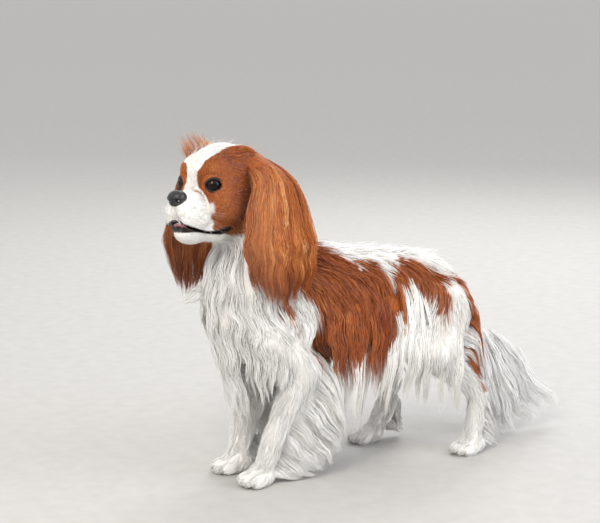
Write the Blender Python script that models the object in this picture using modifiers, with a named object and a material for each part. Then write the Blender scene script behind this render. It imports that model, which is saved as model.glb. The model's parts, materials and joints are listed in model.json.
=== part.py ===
"""A still, life-size toy spaniel of the cavalier type, standing with its head turned a little to its left.

Metres. +Z is up, the animal faces -X and its left side is towards -Y. The soles stand on z = 0.
The flesh is one implicit form made of rounded masses. It is meshed whole, parted by thin discs, and the
long coat is added to each part as flat, tapered locks that lie along the form.
"""

import math
import random

import bpy
import bmesh
import numpy as np
from mathutils import Matrix, Vector

GAP = 0.0003
CUT_THICKNESS = 0.0004
FLOOR_CLEARANCE = 0.004
ROOT_SINK = 0.008
COAT_THINNING = 0.62
SEED = 7

# The head: its middle between the eyes, how far it turns from straight ahead, and its tilt.
HEAD_CENTRE = np.array([-0.205, -0.010, 0.410])
HEAD_YAW = math.radians(22.8)
HEAD_PITCH = math.radians(-1.2)
HEAD_ROLL = math.radians(2.0)

EYE_RADIUS = 0.0120
EYE_SPREAD = 0.0214
EYE_FORWARD = 0.0324
EYE_TURN = math.radians(46)
LID_WIDTH = 0.0130
LID_RISE = 0.0095
LID_FALL = 0.0085
LID_THICKNESS = 0.0022

NOSE_TIP = 0.0905
NOSE_LEVEL = -0.0105

# Joints of the limbs: place and flesh radius, from the body outwards.
FORELEG = {
    -1: [((-0.148, -0.050, 0.205), 0.034), ((-0.098, -0.058, 0.155), 0.0260), ((-0.122, -0.053, 0.107), 0.0185),
         ((-0.141, -0.048, 0.062), 0.0155), ((-0.151, -0.045, 0.030), 0.0150)],
    1: [((-0.148, 0.050, 0.205), 0.034), ((-0.100, 0.056, 0.155), 0.0260), ((-0.124, 0.046, 0.107), 0.0185),
        ((-0.143, 0.036, 0.062), 0.0155), ((-0.152, 0.030, 0.030), 0.0150)],
}
HINDLEG = {
    -1: [((0.138, -0.040, 0.212), 0.050), ((0.112, -0.064, 0.160), 0.0350), ((0.150, -0.066, 0.120), 0.0200),
         ((0.186, -0.064, 0.086), 0.0140), ((0.183, -0.064, 0.045), 0.0130), ((0.178, -0.065, 0.026), 0.0140)],
    1: [((0.128, 0.040, 0.212), 0.050), ((0.082, 0.062, 0.158), 0.0350), ((0.108, 0.064, 0.118), 0.0200),
        ((0.124, 0.060, 0.084), 0.0140), ((0.106, 0.058, 0.045), 0.0130), ((0.096, 0.058, 0.026), 0.0140)],
}
# Paws: where the middle of the sole stands, which way the toes point and the size of the foot.
PAWS = {
    "fore_left": dict(place=(-0.162, -0.043), heading=math.radians(180 + 12), length=0.058, width=0.044),
    "fore_right": dict(place=(-0.162, 0.029), heading=math.radians(180 - 6), length=0.058, width=0.044),
    "hind_left": dict(place=(0.171, -0.066), heading=math.radians(180 + 8), length=0.056, width=0.040),
    "hind_right": dict(place=(0.078, 0.058), heading=math.radians(180 - 4), length=0.056, width=0.040),
}
TAIL = [((0.178, 0.000, 0.236), 0.0200), ((0.205, 0.003, 0.205), 0.0135), ((0.224, 0.005, 0.165), 0.0110),
        ((0.248, 0.005, 0.128), 0.0085), ((0.276, 0.003, 0.098), 0.0060)]

# Rounded masses of the trunk: centre, radii and how softly each blends into the ones before it.
TRUNK = [
    ((-0.050, 0.000, 0.231), (0.122, 0.070, 0.086), 0.000),
    ((-0.120, 0.000, 0.216), (0.062, 0.058, 0.070), 0.020),
    ((-0.085, 0.000, 0.274), (0.060, 0.036, 0.045), 0.025),
    ((0.055, 0.000, 0.235), (0.100, 0.056, 0.068), 0.030),
    ((0.128, 0.000, 0.220), (0.070, 0.056, 0.066), 0.030),
    ((-0.118, -0.046, 0.222), (0.044, 0.031, 0.062), 0.015),
    ((-0.118, 0.046, 0.222), (0.044, 0.031, 0.062), 0.015),
]
NECK = [((-0.108, 0.000, 0.262), 0.064), ((-0.145, -0.002, 0.325), 0.054), ((-0.176, 0.000, 0.385), 0.047)]

# Masses of the head in its own frame: x forward, y to the animal's left, z up. A side mass comes in pairs.
HEAD_MIDDLE = [
    ((-0.012, 0, 0.006), (0.052, 0.044, 0.044), 0.000),
    ((0.020, 0, 0.018), (0.020, 0.026, 0.021), 0.010),
    ((0.058, 0, -0.018), (0.030, 0.0165, 0.0150), 0.008),
    ((0.000, 0, -0.040), (0.048, 0.034, 0.034), 0.012),
    ((0.0490, 0, -0.0565), (0.0355, 0.0185, 0.0175), 0.004),
]
HEAD_SIDES = [
    ((0.016, 0.0175, 0.0170), (0.023, 0.0215, 0.019), 0.008),
    ((0.0240, 0.0235, -0.0030), (0.0190, 0.0185, 0.0175), 0.006),
    ((0.012, 0.0290, -0.0260), (0.035, 0.0205, 0.029), 0.010),
    ((0.0620, 0.0100, -0.0290), (0.0255, 0.0150, 0.0150), 0.006),
    ((0.0565, 0.0120, -0.0400), (0.0275, 0.0150, 0.0165), 0.006),
    ((0.016, 0.0150, -0.0590), (0.034, 0.018, 0.019), 0.010),
]


def unit(vectors):
    vectors = np.asarray(vectors, float)
    return vectors / np.maximum(np.linalg.norm(vectors, axis=-1, keepdims=True), 1e-12)


def head_axes():
    """Rows are the head's forward, left and up directions."""
    forward = np.array([-math.cos(HEAD_YAW) * math.cos(HEAD_PITCH),
                        -math.sin(HEAD_YAW) * math.cos(HEAD_PITCH), math.sin(HEAD_PITCH)])
    level = unit(np.cross([0, 0, 1], forward))
    upright = np.cross(forward, level)
    left = level * math.cos(HEAD_ROLL) + upright * math.sin(HEAD_ROLL)
    return np.array([forward, left, np.cross(forward, left)])


HEAD_AXES = head_axes()


def to_head(points):
    return (np.asarray(points, float) - HEAD_CENTRE) @ HEAD_AXES.T


def from_head(points):
    return np.asarray(points, float) @ HEAD_AXES + HEAD_CENTRE


def ball_distance(points, centre, radii):
    """Signed distance to an ellipsoid, close enough near its surface."""
    q = points - np.asarray(centre, float)
    radii = np.asarray(radii, float)
    near = np.linalg.norm(q / radii, axis=1)
    slope = np.linalg.norm(q / radii**2, axis=1)
    return near * (near - 1) / np.maximum(slope, 1e-9)


def limb_distance(points, joints):
    """Signed distance to a chain of tapering round lengths."""
    best = np.full(len(points), 1e9)
    for (start, start_radius), (end, end_radius) in zip(joints, joints[1:]):
        start, end = np.asarray(start, float), np.asarray(end, float)
        along = end - start
        share = np.clip((points - start) @ along / (along @ along), 0, 1)
        radius = start_radius + (end_radius - start_radius) * share
        gone = np.linalg.norm(points - start - share[:, None] * along, axis=1) - radius
        best = soft_join(best, gone, 0.006)
    return best


def soft_join(a, b, reach):
    if reach <= 0:
        return np.minimum(a, b)
    share = np.clip(0.5 + 0.5 * (b - a) / reach, 0, 1)
    return b * (1 - share) + a * share - reach * share * (1 - share)


def soft_cut(a, b, reach):
    """The form a without b."""
    return -soft_join(-a, b, reach)


def head_field(points):
    q = to_head(points)
    folded = q.copy()
    folded[:, 1] = np.abs(q[:, 1])
    field = np.full(len(q), 1e9)
    for centre, radii, reach in HEAD_MIDDLE:
        field = soft_join(field, ball_distance(folded, centre, radii), reach)
    for centre, radii, reach in HEAD_SIDES:
        field = soft_join(field, ball_distance(folded, centre, radii), reach)
    eye = folded - eye_centre(1, local=True)
    socket = np.linalg.norm(eye, axis=1)
    field = soft_cut(field, socket - EYE_RADIUS * 1.06, 0.003)
    return soft_join(field, socket - EYE_RADIUS - LID_THICKNESS * 0.7, 0.004)


def paw_field(points, name):
    """A foot of four toes and a pad, in its own frame with the toes along +x."""
    paw = PAWS[name]
    turn = paw["heading"]
    q = points - np.array([*paw["place"], 0.0])
    c, s = math.cos(turn), math.sin(turn)
    q = np.stack([q[:, 0] * c + q[:, 1] * s, -q[:, 0] * s + q[:, 1] * c, q[:, 2]], 1)
    length, width = paw["length"], paw["width"]
    field = ball_distance(q, (-0.10 * length, 0, 0.30 * width), (0.40 * length, 0.44 * width, 0.36 * width))
    for k, (side, reach) in enumerate(((-1.5, 0.16), (-0.5, 0.27), (0.5, 0.27), (1.5, 0.16))):
        centre = (reach * length, side * 0.235 * width, 0.21 * width)
        field = soft_join(field, ball_distance(q, centre, (0.26 * length, 0.165 * width, 0.24 * width)), 0.0025)
    return field


def body_field(points):
    """Signed distance to the bare flesh of the whole animal, without ears."""
    points = np.asarray(points, float)
    field = np.full(len(points), 1e9)
    for centre, radii, reach in TRUNK:
        field = soft_join(field, ball_distance(points, centre, radii), reach)
    field = soft_join(field, limb_distance(points, NECK), 0.025)
    for side in (-1, 1):
        field = soft_join(field, limb_distance(points, FORELEG[side]), 0.012)
        field = soft_join(field, limb_distance(points, HINDLEG[side]), 0.014)
    field = soft_join(field, limb_distance(points, TAIL), 0.012)
    for name in PAWS:
        field = soft_join(field, paw_field(points, name), 0.006)
    return soft_join(field, head_field(points), 0.012)


def uphill(field, points, step=0.0005):
    """The outward direction of the form at each point."""
    slopes = [field(points + d) - field(points - d) for d in np.eye(3) * step]
    return unit(np.stack(slopes, 1))


def on_form(points, level=0.0, field=body_field, rounds=6):
    """Points moved along the form's slope to the surface at that level above it."""
    points = np.array(points, float)
    for _ in range(rounds):
        gone = field(points) - level
        points -= uphill(field, points) * np.clip(gone, -0.01, 0.01)[:, None]
    return points


def eye_centre(side, local=False):
    """side is 1 for the animal's left eye in the head's own frame."""
    place = np.array([EYE_FORWARD, side * EYE_SPREAD, 0.0005])
    return place if local else from_head(place[None])[0]


# Long coat. Each sheet of hair is a grid of places on its outer face: rows run from root to tip and each
# row runs across the sheet. Its locks follow the rows, and the solid core under them follows the same grid.
SHEETS = {
    "ear_left": dict(
        rows=[[(-0.177, -0.038, 0.446), (-0.162, -0.030, 0.455), (-0.142, -0.018, 0.450)],
              [(-0.188, -0.068, 0.414), (-0.148, -0.079, 0.420), (-0.107, -0.056, 0.408)],
              [(-0.207, -0.075, 0.357), (-0.150, -0.096, 0.350), (-0.091, -0.073, 0.342)],
              [(-0.204, -0.080, 0.316), (-0.150, -0.101, 0.308), (-0.093, -0.078, 0.304)],
              [(-0.180, -0.085, 0.274), (-0.149, -0.092, 0.261), (-0.112, -0.085, 0.271)]],
        out=(0, -1, 0.2), root_depth=0.013, tip_depth=0.006,
        core=0.55, layers=[(0.34, 1.0, 9, 0.000), (0.0, 0.68, 8, 0.002)],
        width=1.5, thickness=0.008, sway=0.09, splay=0.004),
    "ear_right": dict(
        rows=[[(-0.208, 0.032, 0.436), (-0.194, 0.036, 0.447), (-0.176, 0.036, 0.443)],
              [(-0.224, 0.060, 0.408), (-0.187, 0.080, 0.410), (-0.146, 0.074, 0.403)],
              [(-0.246, 0.056, 0.352), (-0.197, 0.088, 0.348), (-0.142, 0.086, 0.342)],
              [(-0.251, 0.052, 0.316), (-0.205, 0.082, 0.308), (-0.150, 0.086, 0.305)],
              [(-0.238, 0.050, 0.280), (-0.215, 0.062, 0.258), (-0.176, 0.078, 0.270)]],
        out=(0, 1, 0.2), root_depth=0.013, tip_depth=0.006,
        core=0.55, layers=[(0.34, 1.0, 9, 0.000), (0.0, 0.68, 8, 0.002)],
        width=1.5, thickness=0.008, sway=0.09, splay=0.004),
    "ear_tuft": dict(
        rows=[[(-0.214, 0.028, 0.444), (-0.201, 0.032, 0.450), (-0.188, 0.032, 0.450)],
              [(-0.221, 0.031, 0.462), (-0.206, 0.035, 0.468), (-0.190, 0.035, 0.464)],
              [(-0.231, 0.032, 0.474), (-0.213, 0.036, 0.485), (-0.193, 0.036, 0.476)]],
        out=(0, 1, 0), root_depth=0.008, tip_depth=0.004,
        core=0.4, layers=[(0.0, 1.0, 4, 0.000)], width=1.2, thickness=0.006, sway=0.05, splay=0.004),
    "ruff": dict(
        rows=[[(-0.132, -0.050, 0.345), (-0.180, -0.042, 0.330), (-0.204, -0.004, 0.326), (-0.180, 0.038, 0.330),
               (-0.132, 0.050, 0.345)],
              [(-0.130, -0.061, 0.305), (-0.188, -0.053, 0.295), (-0.213, -0.002, 0.292), (-0.188, 0.051, 0.295),
               (-0.130, 0.061, 0.305)],
              [(-0.130, -0.070, 0.262), (-0.190, -0.060, 0.250), (-0.219, 0.000, 0.245), (-0.190, 0.060, 0.250),
               (-0.130, 0.070, 0.262)]],
        out=(-1, 0, 0), root_depth=0.020, tip_depth=0.004,
        core=0.5, layers=[(0.0, 1.0, 11, 0.001)],
        width=1.5, thickness=0.007, sway=0.05, splay=0.006),
    "bib": dict(
        rows=[[(-0.098, -0.068, 0.262), (-0.160, -0.068, 0.262), (-0.206, 0.000, 0.258), (-0.160, 0.068, 0.262),
               (-0.098, 0.068, 0.262)],
              [(-0.098, -0.072, 0.212), (-0.165, -0.068, 0.215), (-0.212, 0.000, 0.212), (-0.165, 0.068, 0.215),
               (-0.098, 0.072, 0.212)],
              [(-0.098, -0.070, 0.165), (-0.155, -0.062, 0.166), (-0.194, 0.000, 0.165), (-0.155, 0.062, 0.166),
               (-0.098, 0.070, 0.165)],
              [(-0.094, -0.066, 0.128), (-0.146, -0.052, 0.120), (-0.170, -0.002, 0.112), (-0.146, 0.050, 0.116),
               (-0.094, 0.064, 0.128)]],
        out=(-1, 0, 0), root_depth=0.022, tip_depth=0.005,
        core=0.5, layers=[(0.42, 1.0, 10, 0.000), (0.0, 0.64, 9, 0.003)],
        width=1.4, thickness=0.008, sway=0.05, splay=0.006),
    "skirt_left": dict(
        rows=[[(-0.060, -0.058, 0.262), (0.000, -0.056, 0.262), (0.055, -0.046, 0.260)],
              [(-0.060, -0.073, 0.215), (0.000, -0.073, 0.215), (0.056, -0.063, 0.215)],
              [(-0.056, -0.076, 0.165), (0.000, -0.074, 0.160), (0.062, -0.066, 0.165)],
              [(-0.046, -0.070, 0.112), (-0.006, -0.066, 0.088), (0.066, -0.060, 0.114)]],
        out=(0, -1, 0), root_depth=0.018, tip_depth=0.005,
        core=0.55, layers=[(0.42, 1.0, 7, 0.000), (0.04, 0.62, 6, 0.002)],
        width=1.5, thickness=0.007, sway=0.05, splay=0.003),
    "skirt_right": dict(
        rows=[[(-0.060, 0.058, 0.262), (0.000, 0.056, 0.262), (0.055, 0.046, 0.260)],
              [(-0.060, 0.073, 0.215), (0.000, 0.073, 0.215), (0.056, 0.063, 0.215)],
              [(-0.056, 0.076, 0.165), (0.000, 0.074, 0.160), (0.062, 0.066, 0.165)],
              [(-0.046, 0.070, 0.112), (-0.006, 0.066, 0.088), (0.066, 0.060, 0.114)]],
        out=(0, 1, 0), root_depth=0.018, tip_depth=0.005,
        core=0.55, layers=[(0.42, 1.0, 7, 0.000), (0.04, 0.62, 6, 0.002)],
        width=1.5, thickness=0.007, sway=0.05, splay=0.003),
    "feather_left": dict(
        rows=[[(-0.090, -0.058, 0.160), (-0.112, -0.052, 0.110), (-0.136, -0.046, 0.050)],
              [(-0.062, -0.063, 0.128), (-0.092, -0.060, 0.092), (-0.124, -0.048, 0.044)],
              [(-0.046, -0.062, 0.082), (-0.064, -0.062, 0.046), (-0.105, -0.051, 0.027)]],
        out=(0, -1, 0), root_depth=0.016, tip_depth=0.005,
        core=0.45, both=True, layers=[(0.12, 1.0, 5, 0.000)],
        width=1.3, thickness=0.006, sway=0.05, splay=0.004),
    "feather_right": dict(
        rows=[[(-0.092, 0.056, 0.160), (-0.114, 0.048, 0.110), (-0.138, 0.034, 0.050)],
              [(-0.064, 0.060, 0.128), (-0.094, 0.054, 0.092), (-0.126, 0.036, 0.044)],
              [(-0.048, 0.060, 0.082), (-0.067, 0.056, 0.046), (-0.107, 0.039, 0.027)]],
        out=(0, 1, 0), root_depth=0.016, tip_depth=0.005,
        core=0.45, both=True, layers=[(0.12, 1.0, 5, 0.000)],
        width=1.3, thickness=0.006, sway=0.05, splay=0.004),
    "breech_left": dict(
        rows=[[(0.165, -0.045, 0.225), (0.150, -0.062, 0.185), (0.140, -0.068, 0.150)],
              [(0.200, -0.040, 0.205), (0.185, -0.058, 0.165), (0.172, -0.066, 0.130)],
              [(0.212, -0.036, 0.160), (0.205, -0.050, 0.128), (0.192, -0.060, 0.104)]],
        out=(0, -1, 0), root_depth=0.022, tip_depth=0.005,
        core=0.5, layers=[(0.10, 1.0, 6, 0.000)],
        width=1.3, thickness=0.007, sway=0.05, splay=0.003),
    "breech_right": dict(
        rows=[[(0.155, 0.045, 0.225), (0.130, 0.062, 0.185), (0.102, 0.068, 0.150)],
              [(0.192, 0.040, 0.200), (0.160, 0.058, 0.160), (0.130, 0.066, 0.128)],
              [(0.200, 0.036, 0.155), (0.168, 0.050, 0.122), (0.146, 0.058, 0.100)]],
        out=(0, 1, 0), root_depth=0.022, tip_depth=0.005,
        core=0.5, layers=[(0.10, 1.0, 6, 0.000)],
        width=1.3, thickness=0.007, sway=0.05, splay=0.003),
    "hock_fringe_left": dict(
        rows=[[(0.186, -0.064, 0.088), (0.184, -0.064, 0.060), (0.180, -0.065, 0.036)],
              [(0.206, -0.064, 0.074), (0.204, -0.064, 0.048), (0.198, -0.065, 0.028)],
              [(0.216, -0.063, 0.050), (0.214, -0.063, 0.032), (0.206, -0.065, 0.018)]],
        out=(0, -1, 0), root_depth=0.010, tip_depth=0.004,
        core=0.5, layers=[(0.2, 1.0, 4, 0.000)],
        width=1.3, thickness=0.005, sway=0.04, splay=0.002),
    "hock_fringe_right": dict(
        rows=[[(0.122, 0.060, 0.086), (0.112, 0.058, 0.060), (0.100, 0.058, 0.036)],
              [(0.138, 0.059, 0.072), (0.130, 0.058, 0.048), (0.118, 0.058, 0.028)],
              [(0.146, 0.058, 0.048), (0.138, 0.058, 0.032), (0.124, 0.058, 0.018)]],
        out=(0, 1, 0), root_depth=0.010, tip_depth=0.004,
        core=0.5, layers=[(0.2, 1.0, 4, 0.000)],
        width=1.3, thickness=0.005, sway=0.04, splay=0.002),
    "plume": dict(
        rows=[[(0.198, -0.006, 0.222), (0.222, -0.006, 0.172), (0.240, -0.006, 0.150), (0.256, -0.004, 0.151)],
              [(0.216, -0.010, 0.150), (0.240, -0.010, 0.105), (0.274, -0.010, 0.088), (0.316, -0.008, 0.096)],
              [(0.236, -0.012, 0.085), (0.262, -0.012, 0.034), (0.302, -0.010, 0.016), (0.390, -0.006, 0.026)]],
        out=(0, -1, 0), root_depth=0.024, tip_depth=0.016,
        core=0.5, both=True, layers=[(0.36, 1.0, 6, 0.000), (0.04, 0.70, 5, 0.002)],
        width=1.5, thickness=0.008, sway=0.04, splay=0.008),
}

MATERIALS = {
    "white_coat": ((0.90, 0.88, 0.84), 0.85),
    "chestnut_coat": ((0.42, 0.15, 0.06), 0.80),
    "nose_leather": ((0.03, 0.03, 0.035), 0.45),
    "eye_gloss": ((0.025, 0.012, 0.008), 0.10),
    "tongue_flesh": ((0.62, 0.28, 0.30), 0.50),
}


def clear_scene():
    for found in list(bpy.data.objects):
        bpy.data.objects.remove(found, do_unlink=True)


def make_collection(name):
    made = bpy.data.collections.new(name)
    bpy.context.scene.collection.children.link(made)
    return made


def make_material(name, colour, roughness):
    material = bpy.data.materials.new(name)
    material.use_nodes = True
    shader = material.node_tree.nodes["Principled BSDF"]
    shader.inputs["Base Color"].default_value = (*colour, 1.0)
    shader.inputs["Roughness"].default_value = roughness
    shader.inputs["Metallic"].default_value = 0.0
    material.diffuse_color = (*colour, 1.0)
    return material


def put_object(name, mesh, group):
    made = bpy.data.objects.new(name, mesh)
    group.objects.link(made)
    return made


def bmesh_object(name, shape, group):
    mesh = bpy.data.meshes.new(name)
    shape.to_mesh(mesh)
    shape.free()
    return put_object(name, mesh, group)


def drop(thing):
    mesh = thing.data
    bpy.data.objects.remove(thing, do_unlink=True)
    bpy.data.meshes.remove(mesh)


def settle(thing):
    """Turns an object's modifiers into its mesh."""
    bpy.context.view_layer.update()
    seen = thing.evaluated_get(bpy.context.evaluated_depsgraph_get())
    mesh = bpy.data.meshes.new_from_object(seen)
    old = thing.data
    thing.modifiers.clear()
    thing.data = mesh
    bpy.data.meshes.remove(old)


def vertex_array(mesh):
    places = np.empty(len(mesh.vertices) * 3)
    mesh.vertices.foreach_get("co", places)
    return places.reshape(-1, 3)


def set_vertices(mesh, places):
    mesh.vertices.foreach_set("co", np.asarray(places, np.float32).ravel())
    mesh.update()


def carve(thing, other, operation="DIFFERENCE", solver="MANIFOLD"):
    cut = thing.modifiers.new("Carve", "BOOLEAN")
    cut.operation = operation
    cut.solver = solver
    cut.object = other
    settle(thing)


def keep_largest(thing):
    """Drops loose scraps and sealed hollows, leaving the biggest closed surface."""
    shape = bmesh.new()
    shape.from_mesh(thing.data)
    shape.faces.ensure_lookup_table()
    seen, islands = set(), []
    for face in shape.faces:
        if face.index in seen:
            continue
        seen.add(face.index)
        island, waiting = [], [face]
        while waiting:
            here = waiting.pop()
            island.append(here)
            for edge in here.edges:
                for beside in edge.link_faces:
                    if beside.index not in seen:
                        seen.add(beside.index)
                        waiting.append(beside)
        islands.append(island)
    islands.sort(key=lambda island: sum(face.calc_area() for face in island))
    scraps = [face for island in islands[:-1] for face in island]
    bmesh.ops.delete(shape, geom=scraps, context="FACES")
    shape.to_mesh(thing.data)
    shape.free()


def seed_form(name, balls, limbs, group):
    """Overlapping round primitives that roughly fill a form, as one loose mesh."""
    shape = bmesh.new()
    for centre, radii, axes in balls:
        turn = Matrix(axes.T.tolist()).to_4x4()
        size = Matrix.Diagonal((*[float(r) for r in radii], 1.0))
        place = Matrix.Translation([float(c) for c in centre])
        bmesh.ops.create_icosphere(shape, subdivisions=3, radius=1.0, matrix=place @ turn @ size)
    for joints in limbs:
        for (start, start_radius), (end, end_radius) in zip(joints, joints[1:]):
            start, end = np.array(start, float), np.array(end, float)
            steps = max(2, int(np.linalg.norm(end - start) / (0.4 * min(start_radius, end_radius))))
            for k in range(steps + 1):
                share = k / steps
                radius = start_radius + (end_radius - start_radius) * share
                place = Matrix.Translation((start + (end - start) * share).tolist())
                bmesh.ops.create_icosphere(shape, subdivisions=2, radius=radius, matrix=place)
    return bmesh_object(name, shape, group)


def thin(thing, ratio):
    """Takes out the edges that matter least to a part's shape."""
    collapse = thing.modifiers.new("Thin", "DECIMATE")
    collapse.ratio = ratio
    collapse.use_collapse_triangulate = True
    settle(thing)


def shaped(thing, voxel, triangles):
    """Welds a seed form into one skin, draws it onto the implicit form and thins it to a number of triangles."""
    weld = thing.modifiers.new("Weld", "REMESH")
    weld.mode = "VOXEL"
    weld.voxel_size = voxel
    settle(thing)
    places = vertex_array(thing.data)
    near = np.abs(body_field(places)) < 0.014
    places[near] = on_form(places[near])
    set_vertices(thing.data, places)
    even = thing.modifiers.new("Even", "SMOOTH")
    even.factor = 0.5
    even.iterations = 3
    settle(thing)
    places = vertex_array(thing.data)
    near = np.abs(body_field(places)) < 0.014
    places[near] = on_form(places[near])
    set_vertices(thing.data, places)
    thin(thing, triangles / (2 * len(thing.data.polygons)))


def body_seeds(group):
    level = np.eye(3)
    balls = [(centre, radii, level) for centre, radii, _ in TRUNK]
    limbs = [NECK, TAIL] + list(FORELEG.values()) + list(HINDLEG.values())
    return seed_form("body_seeds", balls, limbs, group)


def head_seeds(group):
    balls = []
    for centre, radii, _ in HEAD_MIDDLE:
        balls.append((from_head([centre])[0], radii, HEAD_AXES))
    for centre, radii, _ in HEAD_SIDES:
        for side in (-1, 1):
            balls.append((from_head([np.array(centre) * (1, side, 1)])[0], radii, HEAD_AXES))
    for side in (-1, 1):
        balls.append((eye_centre(side), (EYE_RADIUS + LID_THICKNESS,) * 3, HEAD_AXES))
    return seed_form("head_seeds", balls, [NECK[1:]], group)


def paw_seeds(name, leg, group):
    paw = PAWS[name]
    turn = np.array(Matrix.Rotation(paw["heading"], 3, "Z"))
    length, width = paw["length"], paw["width"]
    middle = np.array([*paw["place"], 0.0])

    def ball(x, y, z, *radii):
        return (middle + turn @ np.array([x * length, y * width, z * width]), np.array(radii), turn.T)

    balls = [ball(-0.10, 0, 0.30, 0.40 * length, 0.44 * width, 0.36 * width)]
    for side, reach in ((-1.5, 0.16), (-0.5, 0.27), (0.5, 0.27), (1.5, 0.16)):
        balls.append(ball(reach, side * 0.235, 0.21, 0.26 * length, 0.165 * width, 0.24 * width))
    return seed_form(name + "_seeds", balls, [leg[-2:]], group)


def box_cutter(name, top, along, half, length, group, grow=0.0):
    """A block that starts at a plane through top and runs the given length along its axis."""
    along = Vector(along).normalized()
    turn = along.to_track_quat("Z", "Y").to_matrix().to_4x4()
    shape = bmesh.new()
    bmesh.ops.create_cube(shape, size=1.0)
    size = Matrix.Diagonal((2 * (half[0] + grow), 2 * (half[1] + grow), length + 2 * grow, 1.0))
    place = Matrix.Translation(Vector(top) + along * (length / 2))
    shape.transform(place @ turn @ size)
    return bmesh_object(name, shape, group)


def spline(values, share):
    """A smooth path through the rows of values, at shares from 0 to 1."""
    values = np.asarray(values, float)
    share = np.asarray(share, float) * (len(values) - 1)
    padded = np.concatenate([2 * values[:1] - values[1:2], values, 2 * values[-1:] - values[-2:-1]])
    k = np.clip(share.astype(int), 0, len(values) - 2)
    u = (share - k).reshape(share.shape + (1,) * (values.ndim - 1))
    a, b, c, d = padded[k], padded[k + 1], padded[k + 2], padded[k + 3]
    return 0.5 * (2 * b + (c - a) * u + (2 * a - 5 * b + 4 * c - d) * u**2 + (3 * b - a - 3 * c + d) * u**3)


def sheet_points(sheet, down, across):
    """Places on a sheet's outer face, with its outward, downward and crosswise directions."""
    grid = np.array(sheet["rows"])
    down, across = np.broadcast_arrays(np.asarray(down, float), np.asarray(across, float))
    shape = down.shape

    def place(s, t):
        columns = spline(grid, np.clip(s, -0.1, 1.1).ravel())
        picked = [spline(columns[k], np.array([v])) for k, v in enumerate(np.clip(t, -0.1, 1.1).ravel())]
        return np.concatenate(picked).reshape(shape + (3,))

    middle = place(down, across)
    fall = unit(place(down + 0.01, across) - place(down - 0.01, across))
    side = unit(place(down, across + 0.01) - place(down, across - 0.01))
    out = unit(np.cross(fall, side))
    flip = np.sign((out * np.array(sheet["out"], float)).sum(-1).mean())
    return middle, out * flip, fall, side


def sheet_slab(name, sheet, group, reach=1.0, rows=7, columns=9):
    """A closed slab under a sheet's outer face, from its root as far down as reach."""
    s, t = np.meshgrid(np.linspace(0, reach, rows), np.linspace(0, 1, columns), indexing="ij")
    outer, out, _, _ = sheet_points(sheet, s, t)
    round_off = np.sqrt(np.clip(1 - np.abs(2 * t - 1) ** 3, 0, 1))
    depth = sheet["root_depth"] + (sheet["tip_depth"] - sheet["root_depth"]) * s
    depth = depth * (0.35 + 0.65 * round_off)
    inner = outer - out * depth[..., None]
    shape = bmesh.new()
    faces = [[[shape.verts.new(p) for p in row] for row in layer] for layer in (outer, inner)]
    top, below = faces
    for i in range(rows - 1):
        for j in range(columns - 1):
            shape.faces.new((top[i][j], top[i + 1][j], top[i + 1][j + 1], top[i][j + 1]))
            shape.faces.new((below[i][j], below[i][j + 1], below[i + 1][j + 1], below[i + 1][j]))
    ring = [(i, 0) for i in range(rows)] + [(rows - 1, j) for j in range(1, columns)]
    ring += [(i, columns - 1) for i in range(rows - 2, -1, -1)] + [(0, j) for j in range(columns - 2, 0, -1)]
    for (i, j), (m, n) in zip(ring, ring[1:] + ring[:1]):
        shape.faces.new((top[i][j], below[i][j], below[m][n], top[m][n]))
    bmesh.ops.triangulate(shape, faces=shape.faces)
    bmesh.ops.recalc_face_normals(shape, faces=shape.faces)
    if shape.calc_volume(signed=True) < 0:
        bmesh.ops.reverse_faces(shape, faces=shape.faces)
    return bmesh_object(name, shape, group)


def grown(thing, group, reach):
    """A copy of a part, a little larger all round."""
    mesh = thing.data.copy()
    normals = np.empty(len(mesh.vertices) * 3)
    mesh.vertices.foreach_get("normal", normals)
    set_vertices(mesh, vertex_array(mesh) + normals.reshape(-1, 3) * reach)
    return put_object(thing.name + "_grown", mesh, group)


def lock_path(sheet, across, start, end, lift, sway, phase, splay, face, rings=5):
    """Places down one lock of a sheet, with the direction out of the sheet at each of them."""
    share = np.linspace(0, 1, rings)
    down = start + (end - start) * share
    wander = across + sway * (np.sin(phase + 4.5 * share) - math.sin(phase)) * share
    places, out, _, _ = sheet_points(sheet, down, wander)
    depth = sheet["root_depth"] + (sheet["tip_depth"] - sheet["root_depth"]) * np.clip(down, 0, 1)
    if face < 0:
        places = places - out * depth[:, None]
        out = -out
    rise = -ROOT_SINK * (1 - share) ** 3 + lift * np.sin(np.clip(share * 1.6, 0, 1) * math.pi / 2)
    places = places + out * (rise + splay * share**2)[:, None]
    places[:, 2] = np.maximum(places[:, 2], FLOOR_CLEARANCE + 0.004)
    return places, out


LOCK_TAPER = (0.55, 0.95, 1.00, 0.80)


def make_lock(name, places, out, width, depth, group):
    """A flat three-sided lock of hair, ridged along its middle, that tapers to a point."""
    along = unit(np.gradient(places, axis=0))
    side = unit(np.cross(along, out))
    crest = np.cross(side, along)
    shape = bmesh.new()
    rings = []
    for k, swell in enumerate(LOCK_TAPER):
        w, d = width / 2 * swell, depth / 2 * max(swell, 0.7)
        corners = [places[k] + side[k] * w, places[k] + crest[k] * d, places[k] - side[k] * w - crest[k] * d * 0.3]
        rings.append([shape.verts.new(p) for p in corners])
    for near, far in zip(rings, rings[1:]):
        for k in range(3):
            shape.faces.new((near[k], near[k - 1], far[k - 1], far[k]))
    tip = shape.verts.new(places[-1])
    for k in range(3):
        shape.faces.new((rings[-1][k], rings[-1][k - 1], tip))
    shape.faces.new(rings[0])
    bmesh.ops.triangulate(shape, faces=shape.faces)
    bmesh.ops.recalc_face_normals(shape, faces=shape.faces)
    if shape.calc_volume(signed=True) < 0:
        bmesh.ops.reverse_faces(shape, faces=shape.faces)
    return bmesh_object(name, shape, group)


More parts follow.
